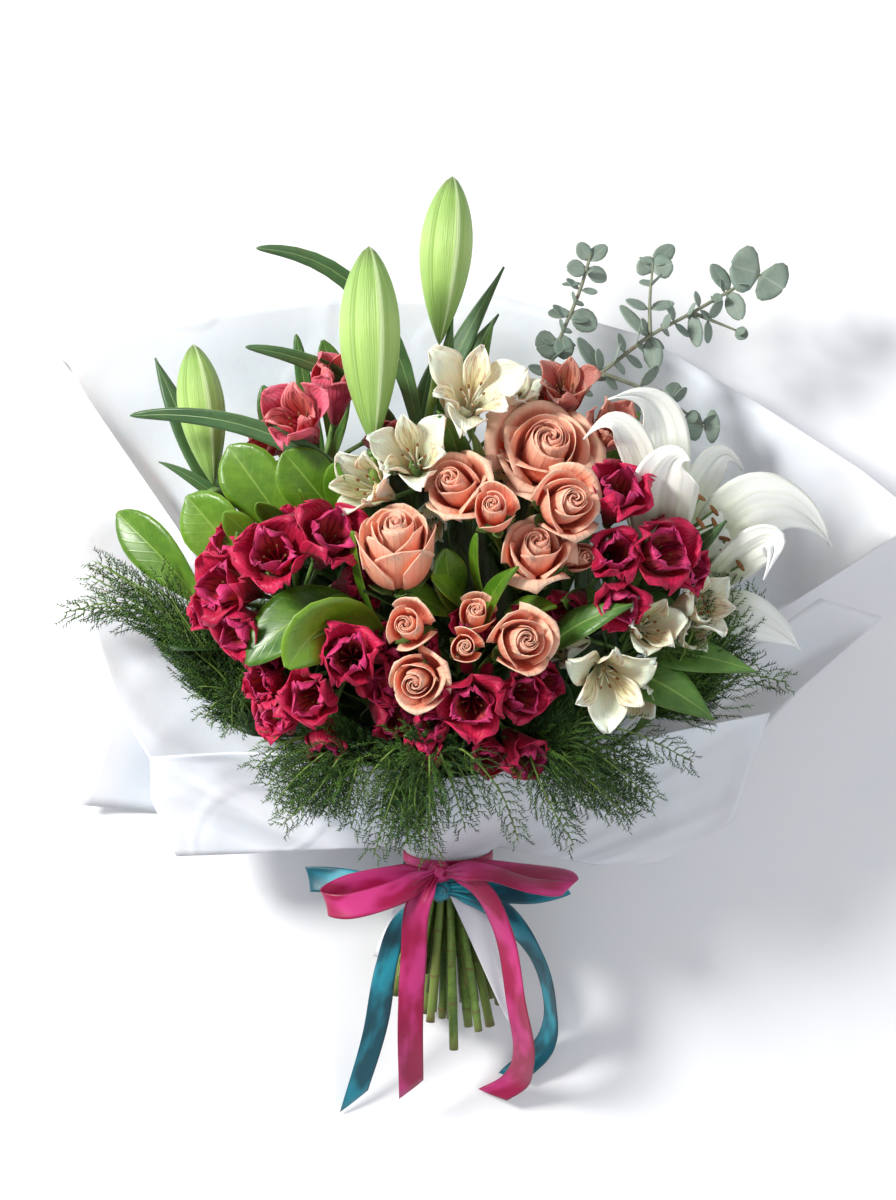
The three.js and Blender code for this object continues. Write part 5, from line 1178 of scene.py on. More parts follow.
def satin_look(name, dark, light, edge):
    """Satin ribbon: fine threads across it, light and dark bands painted along it as sheen, bright where it
    turns to the light, with firm edges.
    """
    look = Look(name, Sheen_Weight=0.06, Sheen_Roughness=0.3, Specular_IOR_Level=0.5, Anisotropic=0.5)
    along, across = look.mark("along"), look.mark("across")
    threads = look.sine(look.times(across, 95.0))
    rows = look.sine(look.times(along, 4200.0))
    weave = look.times(threads, rows)
    # Painted sheen: light and dark bands of colour along the ribbon stand for its satin highlights
    cloud = look.noise(11.0, 2.0, 0.4, look.stretched(look.times(along, 0.8), look.times(across, 0.05)))
    colour = look.blend(look.step(cloud, 0.43, 0.62), dark, light)
    selvedge = look.step(look.size(across), 0.86, 0.94)
    colour = look.tint(colour, selvedge, 0.5, edge)
    height = look.plus(look.times(weave, 0.3), selvedge)
    rough = look.plus(look.times(cloud, 0.15), 0.26)
    return look.done(Base_Color=colour, Roughness=rough, Normal=look.bump(height, 0.3, 0.0002))


def twine_look():
    """Twisted natural twine."""
    look = Look("binding twine", Sheen_Weight=0.2)
    along, across = look.mark("along"), look.mark("across")
    twist = look.sine(look.plus(look.times(along, 420.0), look.times(across, 3.0)))
    fibre = look.noise(500.0, 3.0, 0.7)
    colour = look.blend(fibre, (0.42, 0.34, 0.22), (0.78, 0.70, 0.54))
    height = look.plus(look.times(twist, 0.5), fibre)
    return look.done(Base_Color=colour, Roughness=0.8, Normal=look.bump(height, 0.7, 0.0005))


GROUPS = make_groups()
CRIMSON_MARKS = ((0.80, 0.24, 0.07), (0.09, 0.0, 0.01), 0.35)
CREAM_MARKS = ((0.84, 0.68, 0.30), (0.40, 0.25, 0.12), 0.4)
LOOKS = {
    "peach": petal_look(
        "peach petals", (0.64, 0.09, 0.06), (0.92, 0.30, 0.175), (0.98, 0.58, 0.42),
        veins=0.06, count=26,
    ),
    "crimson": petal_look(
        "crimson petals", (0.10, 0.0, 0.008), (0.46, 0.001, 0.02), (0.62, 0.012, 0.085),
        veins=0.35, glow=0.15,
    ),
    "crimson_inner": petal_look(
        "crimson inner petals", (0.12, 0.0, 0.01), (0.50, 0.004, 0.035), (0.68, 0.04, 0.19),
        glow=0.15, marked=CRIMSON_MARKS,
    ),
    "coral": petal_look(
        "coral petals", (0.30, 0.006, 0.04), (0.68, 0.045, 0.12), (0.85, 0.20, 0.27),
        veins=0.4, glow=0.22,
    ),
    "coral_inner": petal_look(
        "coral inner petals", (0.36, 0.015, 0.04), (0.76, 0.13, 0.16), (0.88, 0.28, 0.28),
        glow=0.22, marked=CRIMSON_MARKS,
    ),
    "dusty": petal_look(
        "dusty petals", (0.22, 0.05, 0.04), (0.42, 0.12, 0.1), (0.6, 0.27, 0.22), veins=0.35,
    ),
    "dusty_inner": petal_look(
        "dusty inner petals", (0.3, 0.08, 0.05), (0.55, 0.24, 0.16), (0.64, 0.34, 0.26),
        marked=CRIMSON_MARKS,
    ),
    "cream": petal_look(
        "cream petals", (0.60, 0.60, 0.34), (0.87, 0.80, 0.62), (0.95, 0.90, 0.79), veins=0.12,
    ),
    "cream_inner": petal_look(
        "cream inner petals", (0.56, 0.54, 0.26), (0.88, 0.79, 0.55), (0.95, 0.89, 0.76),
        veins=0.16, marked=CREAM_MARKS,
    ),
    "bud": bud_look(),
    "lily": petal_look(
        "white lily tepals", (0.50, 0.62, 0.26), (0.90, 0.91, 0.86), (0.95, 0.95, 0.93),
        veins=0.12, count=14, roughness=0.42, glow=0.05,
    ),
    "stem": stem_look("flower stems", (0.06, 0.13, 0.02), (0.24, 0.38, 0.07), (0.17, 0.12, 0.04)),
    "spray_stem": stem_look("spray stems", (0.12, 0.14, 0.09), (0.3, 0.32, 0.22), (0.2, 0.12, 0.08)),
    "strap": leaf_look(
        "lily leaves", (0.02, 0.07, 0.02), (0.07, 0.17, 0.05), (0.25, 0.4, 0.14), Count=4, Slant=40,
    ),
    # Near-black green painted as shade, for the leaves deep in the bouquet and in its gaps
    "under": leaf_look(
        "leaves darkened as painted shade", (0.006, 0.026, 0.006), (0.035, 0.10, 0.012), (0.07, 0.15, 0.03),
    ),
    "lance": leaf_look("broad green leaves", (0.03, 0.11, 0.02), (0.12, 0.27, 0.04), (0.3, 0.46, 0.12)),
    "spoon": leaf_look(
        "spoon leaves", (0.028, 0.11, 0.006), (0.15, 0.31, 0.013), (0.33, 0.50, 0.09),
        roughness=0.36, Width=0.045, Depth=0.15, pale_rib=0.4,
    ),
    "coin": leaf_look(
        "eucalyptus leaves", (0.13, 0.19, 0.15), (0.26, 0.34, 0.28), (0.38, 0.44, 0.36),
        roughness=0.6, Depth=0.25, pale_rib=0.35,
    ),
    "needle": needle_look(),
    "cut": plain_look("cut ends", (0.34, 0.38, 0.12), (0.62, 0.64, 0.34), 500, 0.7),
    "calyx": plain_look("sepals", (0.05, 0.12, 0.02), (0.16, 0.28, 0.06), 120, 0.5),
    "anther": plain_look("anthers", (0.20, 0.07, 0.02), (0.36, 0.16, 0.05), 900, 0.85, bump=0.8),
    "wrap": wrap_look(),
    "magenta": satin_look("magenta satin", (0.33, 0.001, 0.055), (0.56, 0.03, 0.19), (0.24, 0.0, 0.04)),
    "teal": satin_look("teal satin", (0.003, 0.085, 0.12), (0.01, 0.28, 0.37), (0.0, 0.05, 0.08)),
    "twine": twine_look(),
}


# The stems' lines, from their cut ends through the tie to their tops


def push_apart(places, radii, gap, times):
    """Moves every two circles that are too near half their lack of room away from each other."""
    pairs = [(i, j) for i in range(len(radii)) for j in range(i + 1, len(radii))]
    for i, j in pairs * times:
        apart = places[i] - places[j]
        lack = radii[i] + radii[j] + gap - abs(apart)
        if lack > 0:
            apart *= lack / 2 / abs(apart)
            places[i] += apart
            places[j] -= apart


def place_in(height, at):
    """The point of space at a height along the tie's axis, from its place across that axis."""
    return TIE + height * ALONG + at.real * RIGHT + at.imag * FRONT


def beside_tie(slot, height):
    past = max(0, abs(height) - STRAIGHT)
    at = complex(slot.real * (1 + FAN_BELOW * past), slot.imag * (1 + FLATTEN_BELOW * past))
    return place_in(height, at)


def stem_list():
    """Every stem with its radius, its top and how far it runs below the tie."""
    rows = [*STEM_TOPS]
    rows += [(one["name"] + "_stem", "alstroemeria", one["hub"], one["below"]) for one in UMBELS]
    rows += [*GREEN_TOPS]
    rows += [(name, "leafy", one["line"][0], EUCALYPTUS_BELOW) for name, one in EUCALYPTUS.items()]
    rows += [(name, "fern", one["top"], FERN_BELOW) for name, one in FERNS.items()]
    stems = []
    for name, kind, top, below in rows:
        stems.append(dict(name=name, radius=STEM_RADIUS[kind], top=vec(top), below=below))
    return stems


def pack_tie(stems):
    """Draws the stems together round the axis of the tie."""
    radii = [stem["radius"] for stem in stems]
    slots = []
    for stem in stems:
        run = stem["top"] - TIE
        height = np.dot(run, ALONG) - STRAIGHT
        spread = complex(1 + SPREAD_ABOVE * height, TWIST_ABOVE * height)
        slots.append(complex(np.dot(run, RIGHT), np.dot(run, FRONT)) / spread)
    push_apart(slots, radii, STEM_GAP, FIRST_PUSHES)
    for step in range(PACKING_ROUNDS):
        pull = PACKING_PULL * (1 - step / PACKING_ROUNDS)
        slots = [slot * (1 - pull) for slot in slots]
        push_apart(slots, radii, STEM_GAP, ROUND_PUSHES)
    push_apart(slots, radii, STEM_GAP, LAST_PUSHES)
    return slots


def lay_stems(stems):
    """Gives every stem its line, level by level above the tie."""
    places = pack_tie(stems)
    for stem, slot in zip(stems, places):
        run = stem["top"] - TIE
        stem["height"] = np.dot(run, ALONG)
        stem["end"] = complex(np.dot(run, RIGHT), np.dot(run, FRONT))
        stem["line"] = [beside_tie(slot, h) for h in (-stem["below"], -STRAIGHT, STRAIGHT)]
    highest = max(stem["height"] for stem in stems)
    step = 1
    while STRAIGHT + step * LEVEL_STEP < highest:
        level = STRAIGHT + step * LEVEL_STEP
        here = [k for k, stem in enumerate(stems) if stem["height"] > level + 2 * LEVEL_STEP]
        for k in here:
            share = LEVEL_STEP / (stems[k]["height"] - level + LEVEL_STEP)
            places[k] = lerp(places[k], stems[k]["end"], share)
        moved = [places[k] for k in here]
        push_apart(moved, [stems[k]["radius"] for k in here], LEVEL_GAP, LEVEL_PUSHES)
        for k, place in zip(here, moved):
            places[k] = place
            if step in LINE_LEVELS:
                stems[k]["line"].append(place_in(level, place))
        step += 1
    for stem in stems:
        line = np.array([*stem["line"], stem["top"]])
        line[:, 2] = np.maximum(line[:, 2], stem["radius"] + 1)
        stem["line"] = line
    return stems


# Leaves


def outline_of(kind, v):
    """Half a leaf's width along it, as a share of its widest."""
    if kind == "lance":
        return np.maximum(0.05, np.abs(np.sin(math.pi * v**0.75)) ** 0.9)
    if kind == "strap":
        return np.maximum(0.04, np.minimum(1, 0.45 + 2.2 * v) * np.sqrt(np.maximum(0, 1 - v**3)))
    if kind == "spoon":
        return np.maximum(0.1, np.abs(np.sin(math.pi * v**1.45)) ** 0.65)
    return np.maximum(0.12, np.abs(np.sin(math.pi * v**1.05)) ** 0.5)


def leaf_blade(
    piece, foot, tip, bow, width, outline, face, kind, tone, fold=0.25, curl=0.0, wave=0.0, grid=None
):
    """A leaf on a bent rib, with its halves folded up, its tip curled and its edges waved."""
    rows, columns = grid or LEAF_GRID[outline]
    v = np.concatenate([np.linspace(0, 0.85, rows - 4), [0.91, 0.955, 0.985, 1.0]])
    foot, tip, bow = vec(foot), vec(tip), vec(bow)
    middle = (foot + tip) / 2 + bow
    s = v[:, None]
    rib = (1 - s) ** 2 * foot + 2 * s * (1 - s) * middle + s**2 * tip
    tangent = unit(2 * (1 - s) * (middle - foot) + 2 * s * (tip - middle))
    side = unit(np.cross(tangent, unit(face)))
    normal = np.cross(side, tangent)
    half = outline_of(outline, v) * width / 2
    u = np.linspace(-1, 1, columns)
    lift = fold * (np.abs(u)[None, :] ** 1.3 - 0.3) * half[:, None]
    ripple = wave * width * np.sin(7 * v[:, None] + 2.5 * u[None, :] + 9 * tone) * np.abs(u)[None, :]
    droop = -curl * width * (np.abs(u)[None, :] ** 3) * v[:, None]
    offset = (lift + ripple + droop)[..., None] * normal[:, None, :]
    grid = rib[:, None, :] + (u[None, :] * half[:, None])[..., None] * side[:, None, :] + offset
    marks = np.meshgrid(v, u, indexing="ij")
    piece.sheet(grid, LEAF, kind, tone, marks)


def nearest_on(lines, place):
    """The point of a set of lines that is nearest to a place, as the fine line and the share of it."""
    best = None
    shares = np.linspace(0, 1, 101)
    for line in lines:
        fine = through(line)
        gaps = np.linalg.norm(at_shares(fine, shares) - place, axis=1)
        k = int(gaps.argmin())
        if best is None or gaps[k] < best[0]:
            best = (gaps[k], fine, shares[k])
    return best[1], best[2]


def rooted(leaves, line):
    """The leaves of a stem, each with the root of its stalk, a step apart down the stem."""
    fine = through(line)
    length = lengths(fine)[-1]
    found = []
    for leaf in leaves:
        foot = vec(leaf[1])
        share = nearest_on([line], lerp(foot, TIE, 0.1))[1]
        found.append([share * length, leaf])
    found.sort(key=lambda each: -each[0])
    for above, each in zip(found, found[1:]):
        each[0] = min(each[0], above[0] - LEAF_STEP)
    return [(leaf, at_shares(fine, at / length)) for at, leaf in found]


def leaf_stalk(piece, root, foot, radius, kind):
    middle = lerp(root, vec(foot), 0.5) + vec((0, 0, 1.5))
    piece.tube(through([root, middle, foot], 3), np.linspace(radius, 0.5 * radius, 7), 6, kind)


def inner_leaves(piece, stem, random):
    """The leaves that a flower stem bears under its blooms, which fill the middle of the bouquet; their
    near-black green is painted shade.
    """
    fine = through(stem["line"], 6)
    length = lengths(fine)[-1]
    lowest = 1 - max(0.05, (length - INNER_LEAF_FROM) / length) if length > INNER_LEAF_FROM else 1
    broad = stem["name"].startswith("greens")
    outline, count, reach, widths = BROAD_INNER if broad else NARROW_INNER
    for k, share in enumerate(np.linspace(lowest, 0.94, count)):
        foot = at_shares(fine, share)
        run = unit(at_shares(fine, min(1, share + 0.03)) - at_shares(fine, share - 0.03))
        side = unit(np.cross(run, UP))
        over = np.cross(side, run)
        turn = k * GOLDEN + random.uniform(-0.4, 0.4)
        out = unit(0.85 * run + 0.75 * (math.cos(turn) * side + math.sin(turn) * over))
        tip = foot + out * random.uniform(*reach)
        tip[2] = max(4, min(tip[2], stem["top"][2] + 14))
        face = unit(np.cross(np.cross(out, run), out) + 0.2 * UP)
        # Kind 4 is the near-black green of painted shade
        leaf_blade(
            piece, foot, tip, -4 * over, random.uniform(*widths), outline, face, 4, random.random(),
            curl=0.15, wave=0.02, grid=SMALL_LEAF_GRID,
        )


def shade_leaves(piece, stem, random):
    """Broad leaves low in the bouquet, which close the gaps between its blooms; their near-black green is
    painted shade.
    """
    for tip in SHADE_LEAVES.get(stem["name"], ()):
        line, share = nearest_on([stem["line"]], lerp(vec(tip), TIE, 0.4))
        foot = at_shares(line, share)
        leaf_blade(
            piece, foot, tip, (0, 0, 5), SHADE_LEAF_WIDTH, "spoon", UP, 4, random.random(),
            wave=0.02, grid=SMALL_LEAF_GRID,
        )


def stem_piece(stem, random):
    """A stem with what grows on it: its pedicels and calyxes, and its leaves."""
    name = stem["name"]
    slot = "spoon_leaf" if name.startswith("greens") else "green_stem"
    leaf = LOOKS[LEAVES_OF.get(name.split("_")[0], "lance")]
    # The last look, the near-black green, paints shade on the inner leaves and the shade leaves
    looks = (LOOKS["stem"], LOOKS["cut"], leaf, LOOKS["calyx"], LOOKS["under"])
    piece = Piece(name + "_dressed", slot, *looks)
    tone = random.random()
    shares = np.linspace(0, 1, 60)
    line = at_shares(through(stem["line"], 6), shares)
    swell = 1 + 0.16 * np.maximum(0, np.sin(55 * shares + 9 * tone)) ** 12
    piece.tube(line, stem["radius"] * swell * lerp(1.04, 0.86, shares), 12, 0, tone, cut=1)
    carry_blooms(piece, stem)
    if not name.startswith("lily"):
        inner_leaves(piece, stem, random)
    shade_leaves(piece, stem, random)
    for (outline, foot, tip, bow, width, face), root in rooted(LEAVES.get(name, []), stem["line"]):
        leaf_stalk(piece, root, foot, 1.1, 0)
        style = dict(curl=0.05, wave=0.02) if outline == "spoon" else dict(curl=0.12, wave=0.012)
        leaf_blade(piece, foot, tip, bow, width, outline, face, 2, random.random(), **style)
    piece.finish(name)


def carry_blooms(piece, stem):
    """The pedicels of a stem's blooms, and a calyx with its sepals under each."""
    blooms = [one for one in ROSES + LILY_BUDS + OPEN_LILIES if one["on"] == stem["name"]]
    for k, one in enumerate(blooms):
        kind = "lily" if one["on"].startswith("lily") else "rose"
        facing = unit(one["facing"])
        tip = vec(one["base"]) - facing * (CLEARANCE + CALYX[kind][1])
        piece.ball(tip, facing, CALYX[kind], 12, 3)
        if kind == "rose":
            sepals(piece, tip, facing, one["radius"])
        if np.linalg.norm(tip - stem["top"]) < NO_PEDICEL:
            continue
        below = tip - 14 * facing
        start = back_from(stem["line"], 1 + PEDICEL_STEP * k)
        path = through([start, lerp(start, below, 0.6), below, tip], 6)
        piece.tube(path, PEDICEL_RADIUS[kind], 10, 0, 0.8)


def sepals(piece, tip, facing, radius):
    """Five narrow sepals that clasp a rose from below."""
    to = seat(tip, facing)
    for k in range(5):
        turn = k * 2 * math.pi / 5
        out = np.array([1.5, 0.62 * radius, 0.9 * radius])
        foot, middle, tip = to(ring_points(turn, out, np.array([1.0, 3.0, 0.55 * radius])))
        bow = middle - (foot + tip) / 2
        leaf_blade(piece, foot, tip, bow, 0.5 * radius, "lance", -facing, 3, 0.4, grid=SEPAL_GRID)


# Roses


def rose_line(radius, height, opened, depth):
    """The line of a rose's petals: depth is 0 in its heart and 1 outside."""
    wide = radius * lerp(0.09, 0.92, depth**1.1)
    flare = 1 + 0.36 * opened * smooth(0.45, 1, depth)
    lean = lerp(0.72, 0.98, smooth(0.1, 0.7, depth))
    high = height * (1 - smooth(0.3, 1, depth) * (0.08 + 0.26 * opened))
    return [
        (lerp(0.04, 0.26, depth) * radius, 0.06 * height),
        (1.18 * wide + 0.04 * radius, lerp(0.3, 0.08, depth) * height),
        (1.02 * wide + 0.03 * radius, 0.72 * height),
        (wide * lean * flare, high),
    ]


def rose_petal(piece, to, one, depth, turn, draw):
    """A broad petal with a soft point in the middle of its rim, which rolls back at both corners."""
    radius, height, opened = one["radius"], one["height"], one["open"]
    rows, columns = ROSE_GRID
    v = np.linspace(0, 1, rows)[:, None]
    u = np.linspace(-1, 1, columns)[None, :]
    outer = float(smooth(0.35, 0.8, depth))
    half = lerp(1.75, 1.0, outer) * (0.55 + 0.45 * smooth(0, 0.45, v))
    point = 0.17 * outer * np.exp(-np.abs(u / 0.24)) * draw(0.5, 1.2)
    reach = 1 - lerp(0.1, 0.34, outer) * np.abs(u) ** 2.2 + point
    along = v * reach
    line = cubic(*[(*p, 0) for p in rose_line(radius, height, opened, depth)], along)
    r, h = line[..., 0], line[..., 1]
    roll = smooth(0.74, 1.0, v) * outer * draw(0.6, 1.2) * (0.35 + 0.65 * opened)
    corner = 0.25 + 1.1 * np.abs(u + draw(-0.3, 0.3)) ** 1.3
    r = r + 0.25 * radius * roll * corner
    h = h - 0.15 * height * roll**2 * corner
    sweep = lerp(0.1, 0.05, outer) * radius * u * smooth(0.2, 1, v)
    wave = 0.035 * radius * np.sin(draw(2.2, 3.6) * u + draw(0, 6.3)) * v**2 * (0.35 + outer)
    lift = 0.03 * height * np.sin(draw(2, 3.4) * u + draw(0, 6.3)) * v**2
    grid = to(ring_points(turn + half * u, np.maximum(r + sweep + wave, 0.035 * radius), h + lift))
    # Painted shade: petals nearer the heart get a lower tone, so they darken toward the deep colour
    tone = np.clip(lerp(0.25, 0.95, depth) + draw(-0.1, 0.1), 0, 1)
    piece.sheet(grid, PETAL, 0, tone, np.broadcast_arrays(v, u))


def rose_heart(piece, to, one):
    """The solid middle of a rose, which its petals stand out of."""
    radius, height = one["radius"], one["height"]
    v = np.linspace(0, 1, 12)
    girth = 0.46 * radius * np.sin(math.pi * v**0.75) ** 0.7
    outline = np.stack([girth, lerp(0.08, 0.76, v) * height], axis=1)
    outline[[0, -1], 0] = 0
    # Painted shade: the core takes a low tone and only the throat end of the petal colours, so the gaps
    # between the heart's petals show deep coral
    piece.lathe(outline, to, 18, 0, 0.3)
    piece.marks[-1] = piece.marks[-1] * (0.3, 1, 1)


def rose_piece(one, random):
    piece = Piece(one["name"] + "_petals", "peach_petal", LOOKS["peach"])
    to = seat(one["base"], one["facing"], one["roll"])
    rose_heart(piece, to, one)
    inner, outer = next(counts for least, *counts in ROSE_PETALS if one["radius"] > least)
    depths = [*np.linspace(0.03, HEART_DEPTH, inner), *np.linspace(OUTER_DEPTH, 1, outer)]
    for k, depth in enumerate(depths):
        rose_petal(piece, to, one, depth, k * GOLDEN + random.uniform(-0.25, 0.25), random.uniform)
    piece.finish(one["name"])


# Alstroemerias


def tepal_line(length, opened):
    return [
        (1.3, 0),
        (8.6, 0.4 * length),
        (0.24 * length * opened + 5, 0.76 * length),
        (0.5 * length * opened + 5, (1 - 0.16 * opened) * length),
    ]


def tepal(piece, to, line, turn, width, reach, kind, tone, cup, ruffle, tip, grid, draw):
    """A broad tepal, narrow in the throat, with a waved edge and a small point."""
    rows, columns = grid
    v = np.linspace(0, 1, rows)[:, None]
    u = np.linspace(-1, 1, columns)[None, :]
    middle = cubic(*[(*p, 0) for p in line], v * reach)
    r, h = middle[..., 0], middle[..., 1]
    throat = 0.16 + 0.84 * smooth(0.1, 0.72, v)
    half = 0.5 * width * throat * np.maximum(0.01, 1 - smooth(0.66, 1.04, v)) ** tip
    slope_r, slope_h = np.gradient(r[:, 0]), np.gradient(h[:, 0])
    size = np.hypot(slope_r, slope_h)
    out_r, out_h = (slope_h / size)[:, None], (-slope_r / size)[:, None]
    ripple = 0.075 * width * np.sin(9 * v + draw(0, 6.3) + 2 * u) * np.abs(u) ** 2 * v
    ripple = ripple + 0.035 * width * np.sin(19 * v + draw(0, 6.3) - 5 * u) * v**3
    bend = -cup * half * u**2 + ruffle * ripple + 0.02 * width * np.exp(-((u / 0.15) ** 2))
    r = r + out_r * bend
    h = h + out_h * bend
    side = half * u
    x = r * math.cos(turn) - side * math.sin(turn)
    y = r * math.sin(turn) + side * math.cos(turn)
    piece.sheet(to(np.stack([x, y, h + 0 * u], axis=-1)), PETAL, kind, tone, np.broadcast_arrays(v, u))


def alstroemeria(piece, one, random, ruffle, close, tip, broad, inner):
    length = ALSTROEMERIA_LENGTH * one["size"]
    opened = one["open"] * close
    to = seat(one["base"], one["facing"], one["roll"])
    line = tepal_line(length, opened)
    inner_line = tepal_line(length, opened * inner)
    edge = (ruffle, tip, one["grid"], random.uniform)
    for k in range(3):
        turn = k * 2 * math.pi / 3
        tone = random.uniform(0.2, 1)
        tepal(piece, to, line, turn, 0.64 * broad * length, 1, 0, tone, 0.35, *edge)
        turn += math.pi / 3
        tone = random.uniform(0.2, 1)
        tepal(piece, to, inner_line, turn, 0.44 * broad * length, 0.99, 1, tone, 0.5, *edge)
    if opened <= 0.45:
        return
    for k in range(6):
        turn = k * math.pi / 3 + 0.4
        tips = random.uniform(0.52, 0.7)
        out = np.array([0.8, 2.2, 3.2 + 3 * opened])
        path = to(ring_points(turn, out, np.array([0.1, 0.45, tips]) * length))
        piece.tube(through(path, 3), 0.4, 4, 0, 1.0)
        piece.ball(path[-1], path[-1] - path[1], (0.8, 1.5), 5, 2)


def bud_on_umbel(piece, hub, direction, length, random):
    """A small closed bud of an umbel, on its own pedicel."""
    direction = unit(direction)
    foot = hub + direction * 16
    piece.tube(through([hub, hub + direction * 8 + (0, 0, 1), foot], 4), 1.0, 6, 3)
    v = np.linspace(0, 1, 10)
    outline = np.stack([0.2 * length * np.sin(math.pi * v**0.8) ** 0.8, v * length], axis=1)
    outline[[0, -1], 0] = 0
    shape = lambda turn, share: 1 + 0.08 * np.cos(3 * turn)[None, :]
    piece.lathe(outline, seat(foot, direction), 12, 0, random.uniform(0.2, 0.6), shape)


def near_rose(base):
    """Whether a floret there would cover a rose."""
    for one in ROSES:
        middle = vec(one["base"]) + 0.5 * one["height"] * unit(one["facing"])
        if np.linalg.norm(base + 15 * UP - middle) < one["radius"] + ROSE_CLEAR:
            return True
    return False


def near_umbel(base, umbel):
    """Whether a floret there would cut through a bloom of another kind."""
    for other in UMBELS:
        if other["look"] == umbel["look"]:
            continue
        for one in other["blooms"]:
            if math.dist(base[:2], one["base"][:2]) < UMBEL_CLEAR:
                return True
    return False


def side_florets(umbel, random):
    """The half-open florets that crowd round an umbel under its open ones."""
    count, reach = SIDE_FLORETS[umbel["look"]]
    hub = vec(umbel["hub"])
    bases = np.array([one["base"] for one in umbel["blooms"]], float)
    high = bases[:, 2].mean() - SIDE_DROP
    middle = bases.mean(axis=0)
    florets = []
    for k in range(count):
        turn = 2 * math.pi * k / count + random.uniform(-0.3, 0.3)
        out = vec((math.cos(turn), math.sin(turn), 0))
        base = lerp(hub, middle, 0.75) + reach * random.uniform(0.75, 1.05) * out
        base[2] = max(high + random.uniform(-4, 5), 30)
        if near_rose(base) or near_umbel(base, umbel):
            continue
        facing = unit(0.75 * out + (0, 0, random.uniform(0.7, 1.1)))
        size = random.uniform(0.6, 0.78)
        opened = random.uniform(0.3, 0.6)
        florets.append(bloom(base, facing, size, random.uniform(0, 2), opened, SIDE_TEPAL_GRID))
    return florets


def umbel_piece(umbel, random):
    look = umbel["look"]
    looks = (LOOKS[look], LOOKS[look + "_inner"], LOOKS["anther"], LOOKS["calyx"])
    piece = Piece(umbel["name"] + "_petals", look + "_petal", *looks)
    hub = vec(umbel["hub"]) + (0, 0, 3)
    piece.ball(hub, UP, (3.4, 3), 10, 3)
    for one in [*umbel["blooms"], *side_florets(umbel, random)]:
        facing = unit(one["facing"])
        foot = vec(one["base"])
        piece.tube(through([hub, lerp(hub, foot, 0.55) - 2 * facing, foot], 5), 1.3, 8, 3)
        piece.ball(foot + 0.5 * facing, facing, (2.4, 3.2), 10, 3)
        alstroemeria(piece, one, random, *TEPALS.get(look, PLAIN_TEPALS))
    for direction in umbel["buds"]:
        bud_on_umbel(piece, hub, direction, random.uniform(*UMBEL_BUD_LENGTHS), random)
    piece.finish(umbel["name"])


# Lilies


def lily_bud_piece(one):
    piece = Piece(one["name"] + "_skin", "lily_bud_green", LOOKS["bud"])
    rows, sides = LILY_BUD_GRID
    v = np.linspace(0, 1, rows)
    girth = one["radius"] * np.abs(np.sin(math.pi * (1 - v) ** 0.8)) ** 0.85
    outline = np.stack([girth, v * one["length"]], axis=1)
    outline[[0, -1], 0] = 0

    def shape(turn, share):
        third = (turn * 3 / (2 * math.pi)) % 1
        from_seam = np.minimum(third, 1 - third)
        seam = 0.13 * np.exp(-((from_seam / 0.05) ** 2))
        rib = 0.035 * np.exp(-(((third - 0.5) / 0.05) ** 2))
        groove = 0.03 * np.exp(-(((np.abs(third - 0.5) - 0.13) / 0.05) ** 2))
        round_out = 0.03 * np.cos(2 * math.pi * (third - 0.5)) - seam + rib - groove
        return 1 + round_out[None, :] * smooth(0, 0.15, share)

    piece.lathe(outline, seat(one["base"], one["facing"], LILY_BUD_ROLL), sides, 0, 0.5, shape)
    last = piece.marks[-1]
    last[:, 1] = (((last[:, 1] + 1) * 1.5) % 1) * 2 - 1
    piece.finish(one["name"])


def lily_tepal(piece, rib, width, face, random):
    """A long pointed tepal on its rib, with a waved edge and a groove down its middle."""
    rows, columns = LILY_TEPAL_GRID
    v = np.linspace(0, 1, rows)
    u = np.linspace(-1, 1, columns)
    across = u[None, :]
    line = cubic(*rib, v)
    tangent = unit(np.gradient(line, axis=0))
    side = unit(np.cross(tangent, unit(face)))
    normal = np.cross(side, tangent)
    pointed = lerp(0.75, 1.25, smooth(0.35, 0.8, v))
    half = np.maximum(0.3, width / 2 * np.abs(np.sin(math.pi * v**0.85)) ** pointed)
    wave = np.sin(15 * v[:, None] + 3 * np.sign(across) + random.uniform(0, 6))
    wave = 0.05 * width * wave * np.abs(across) ** 3
    bend = 0.12 * across**2 * half[:, None] + wave - 0.07 * width * np.exp(-((across / 0.16) ** 2))
    grid = line[:, None] + (across * half[:, None])[..., None] * side[:, None]
    grid = grid + bend[..., None] * normal[:, None]
    piece.sheet(grid, LILY_TEPAL, 0, random.uniform(0.85, 1), np.meshgrid(v, u, indexing="ij"))


def open_lily_piece(one, random):
    piece = Piece(one["name"] + "_tepals", "lily_petal", LOOKS["lily"], LOOKS["calyx"], LOOKS["anther"])
    facing = unit(one["facing"])
    heart = vec(one["base"]) + 7 * facing
    piece.ball(heart, facing, (7, 9), 14, 1)
    for width, face, *rib in one["tepals"]:
        lily_tepal(piece, [heart, *rib], width, face, random)
    for k in range(6):
        turn = k * math.pi / 3
        path = ring_points(turn, np.array([1.0, 5.0, 11.0]), np.array([4.0, 26.0, 42.0]))
        path = seat(heart, facing)(path)
        piece.tube(through(path, 5), 0.7, 6, 1, 0.8)
        piece.ball(path[-1], np.cross(path[-1] - path[1], UP), (1.3, 4.0), 8, 2)
    piece.finish(one["name"])


# Eucalyptus and asparagus fern


def round_leaf(piece, foot, tip, width, face, lines, random):
    """A round leaf of the eucalyptus, on the nearest of its twigs."""
    line, share = nearest_on(lines, vec(foot))
    foot = at_shares(line, share)
    foot = foot + 0.3 * unit(vec(tip) - foot)
    leaf_blade(
        piece, foot, tip, (0, 0, 0), ROUND_LEAF_SCALE * width, "coin", face, 1, random.random(),
        fold=0.1, curl=0.06, wave=0.01,
    )


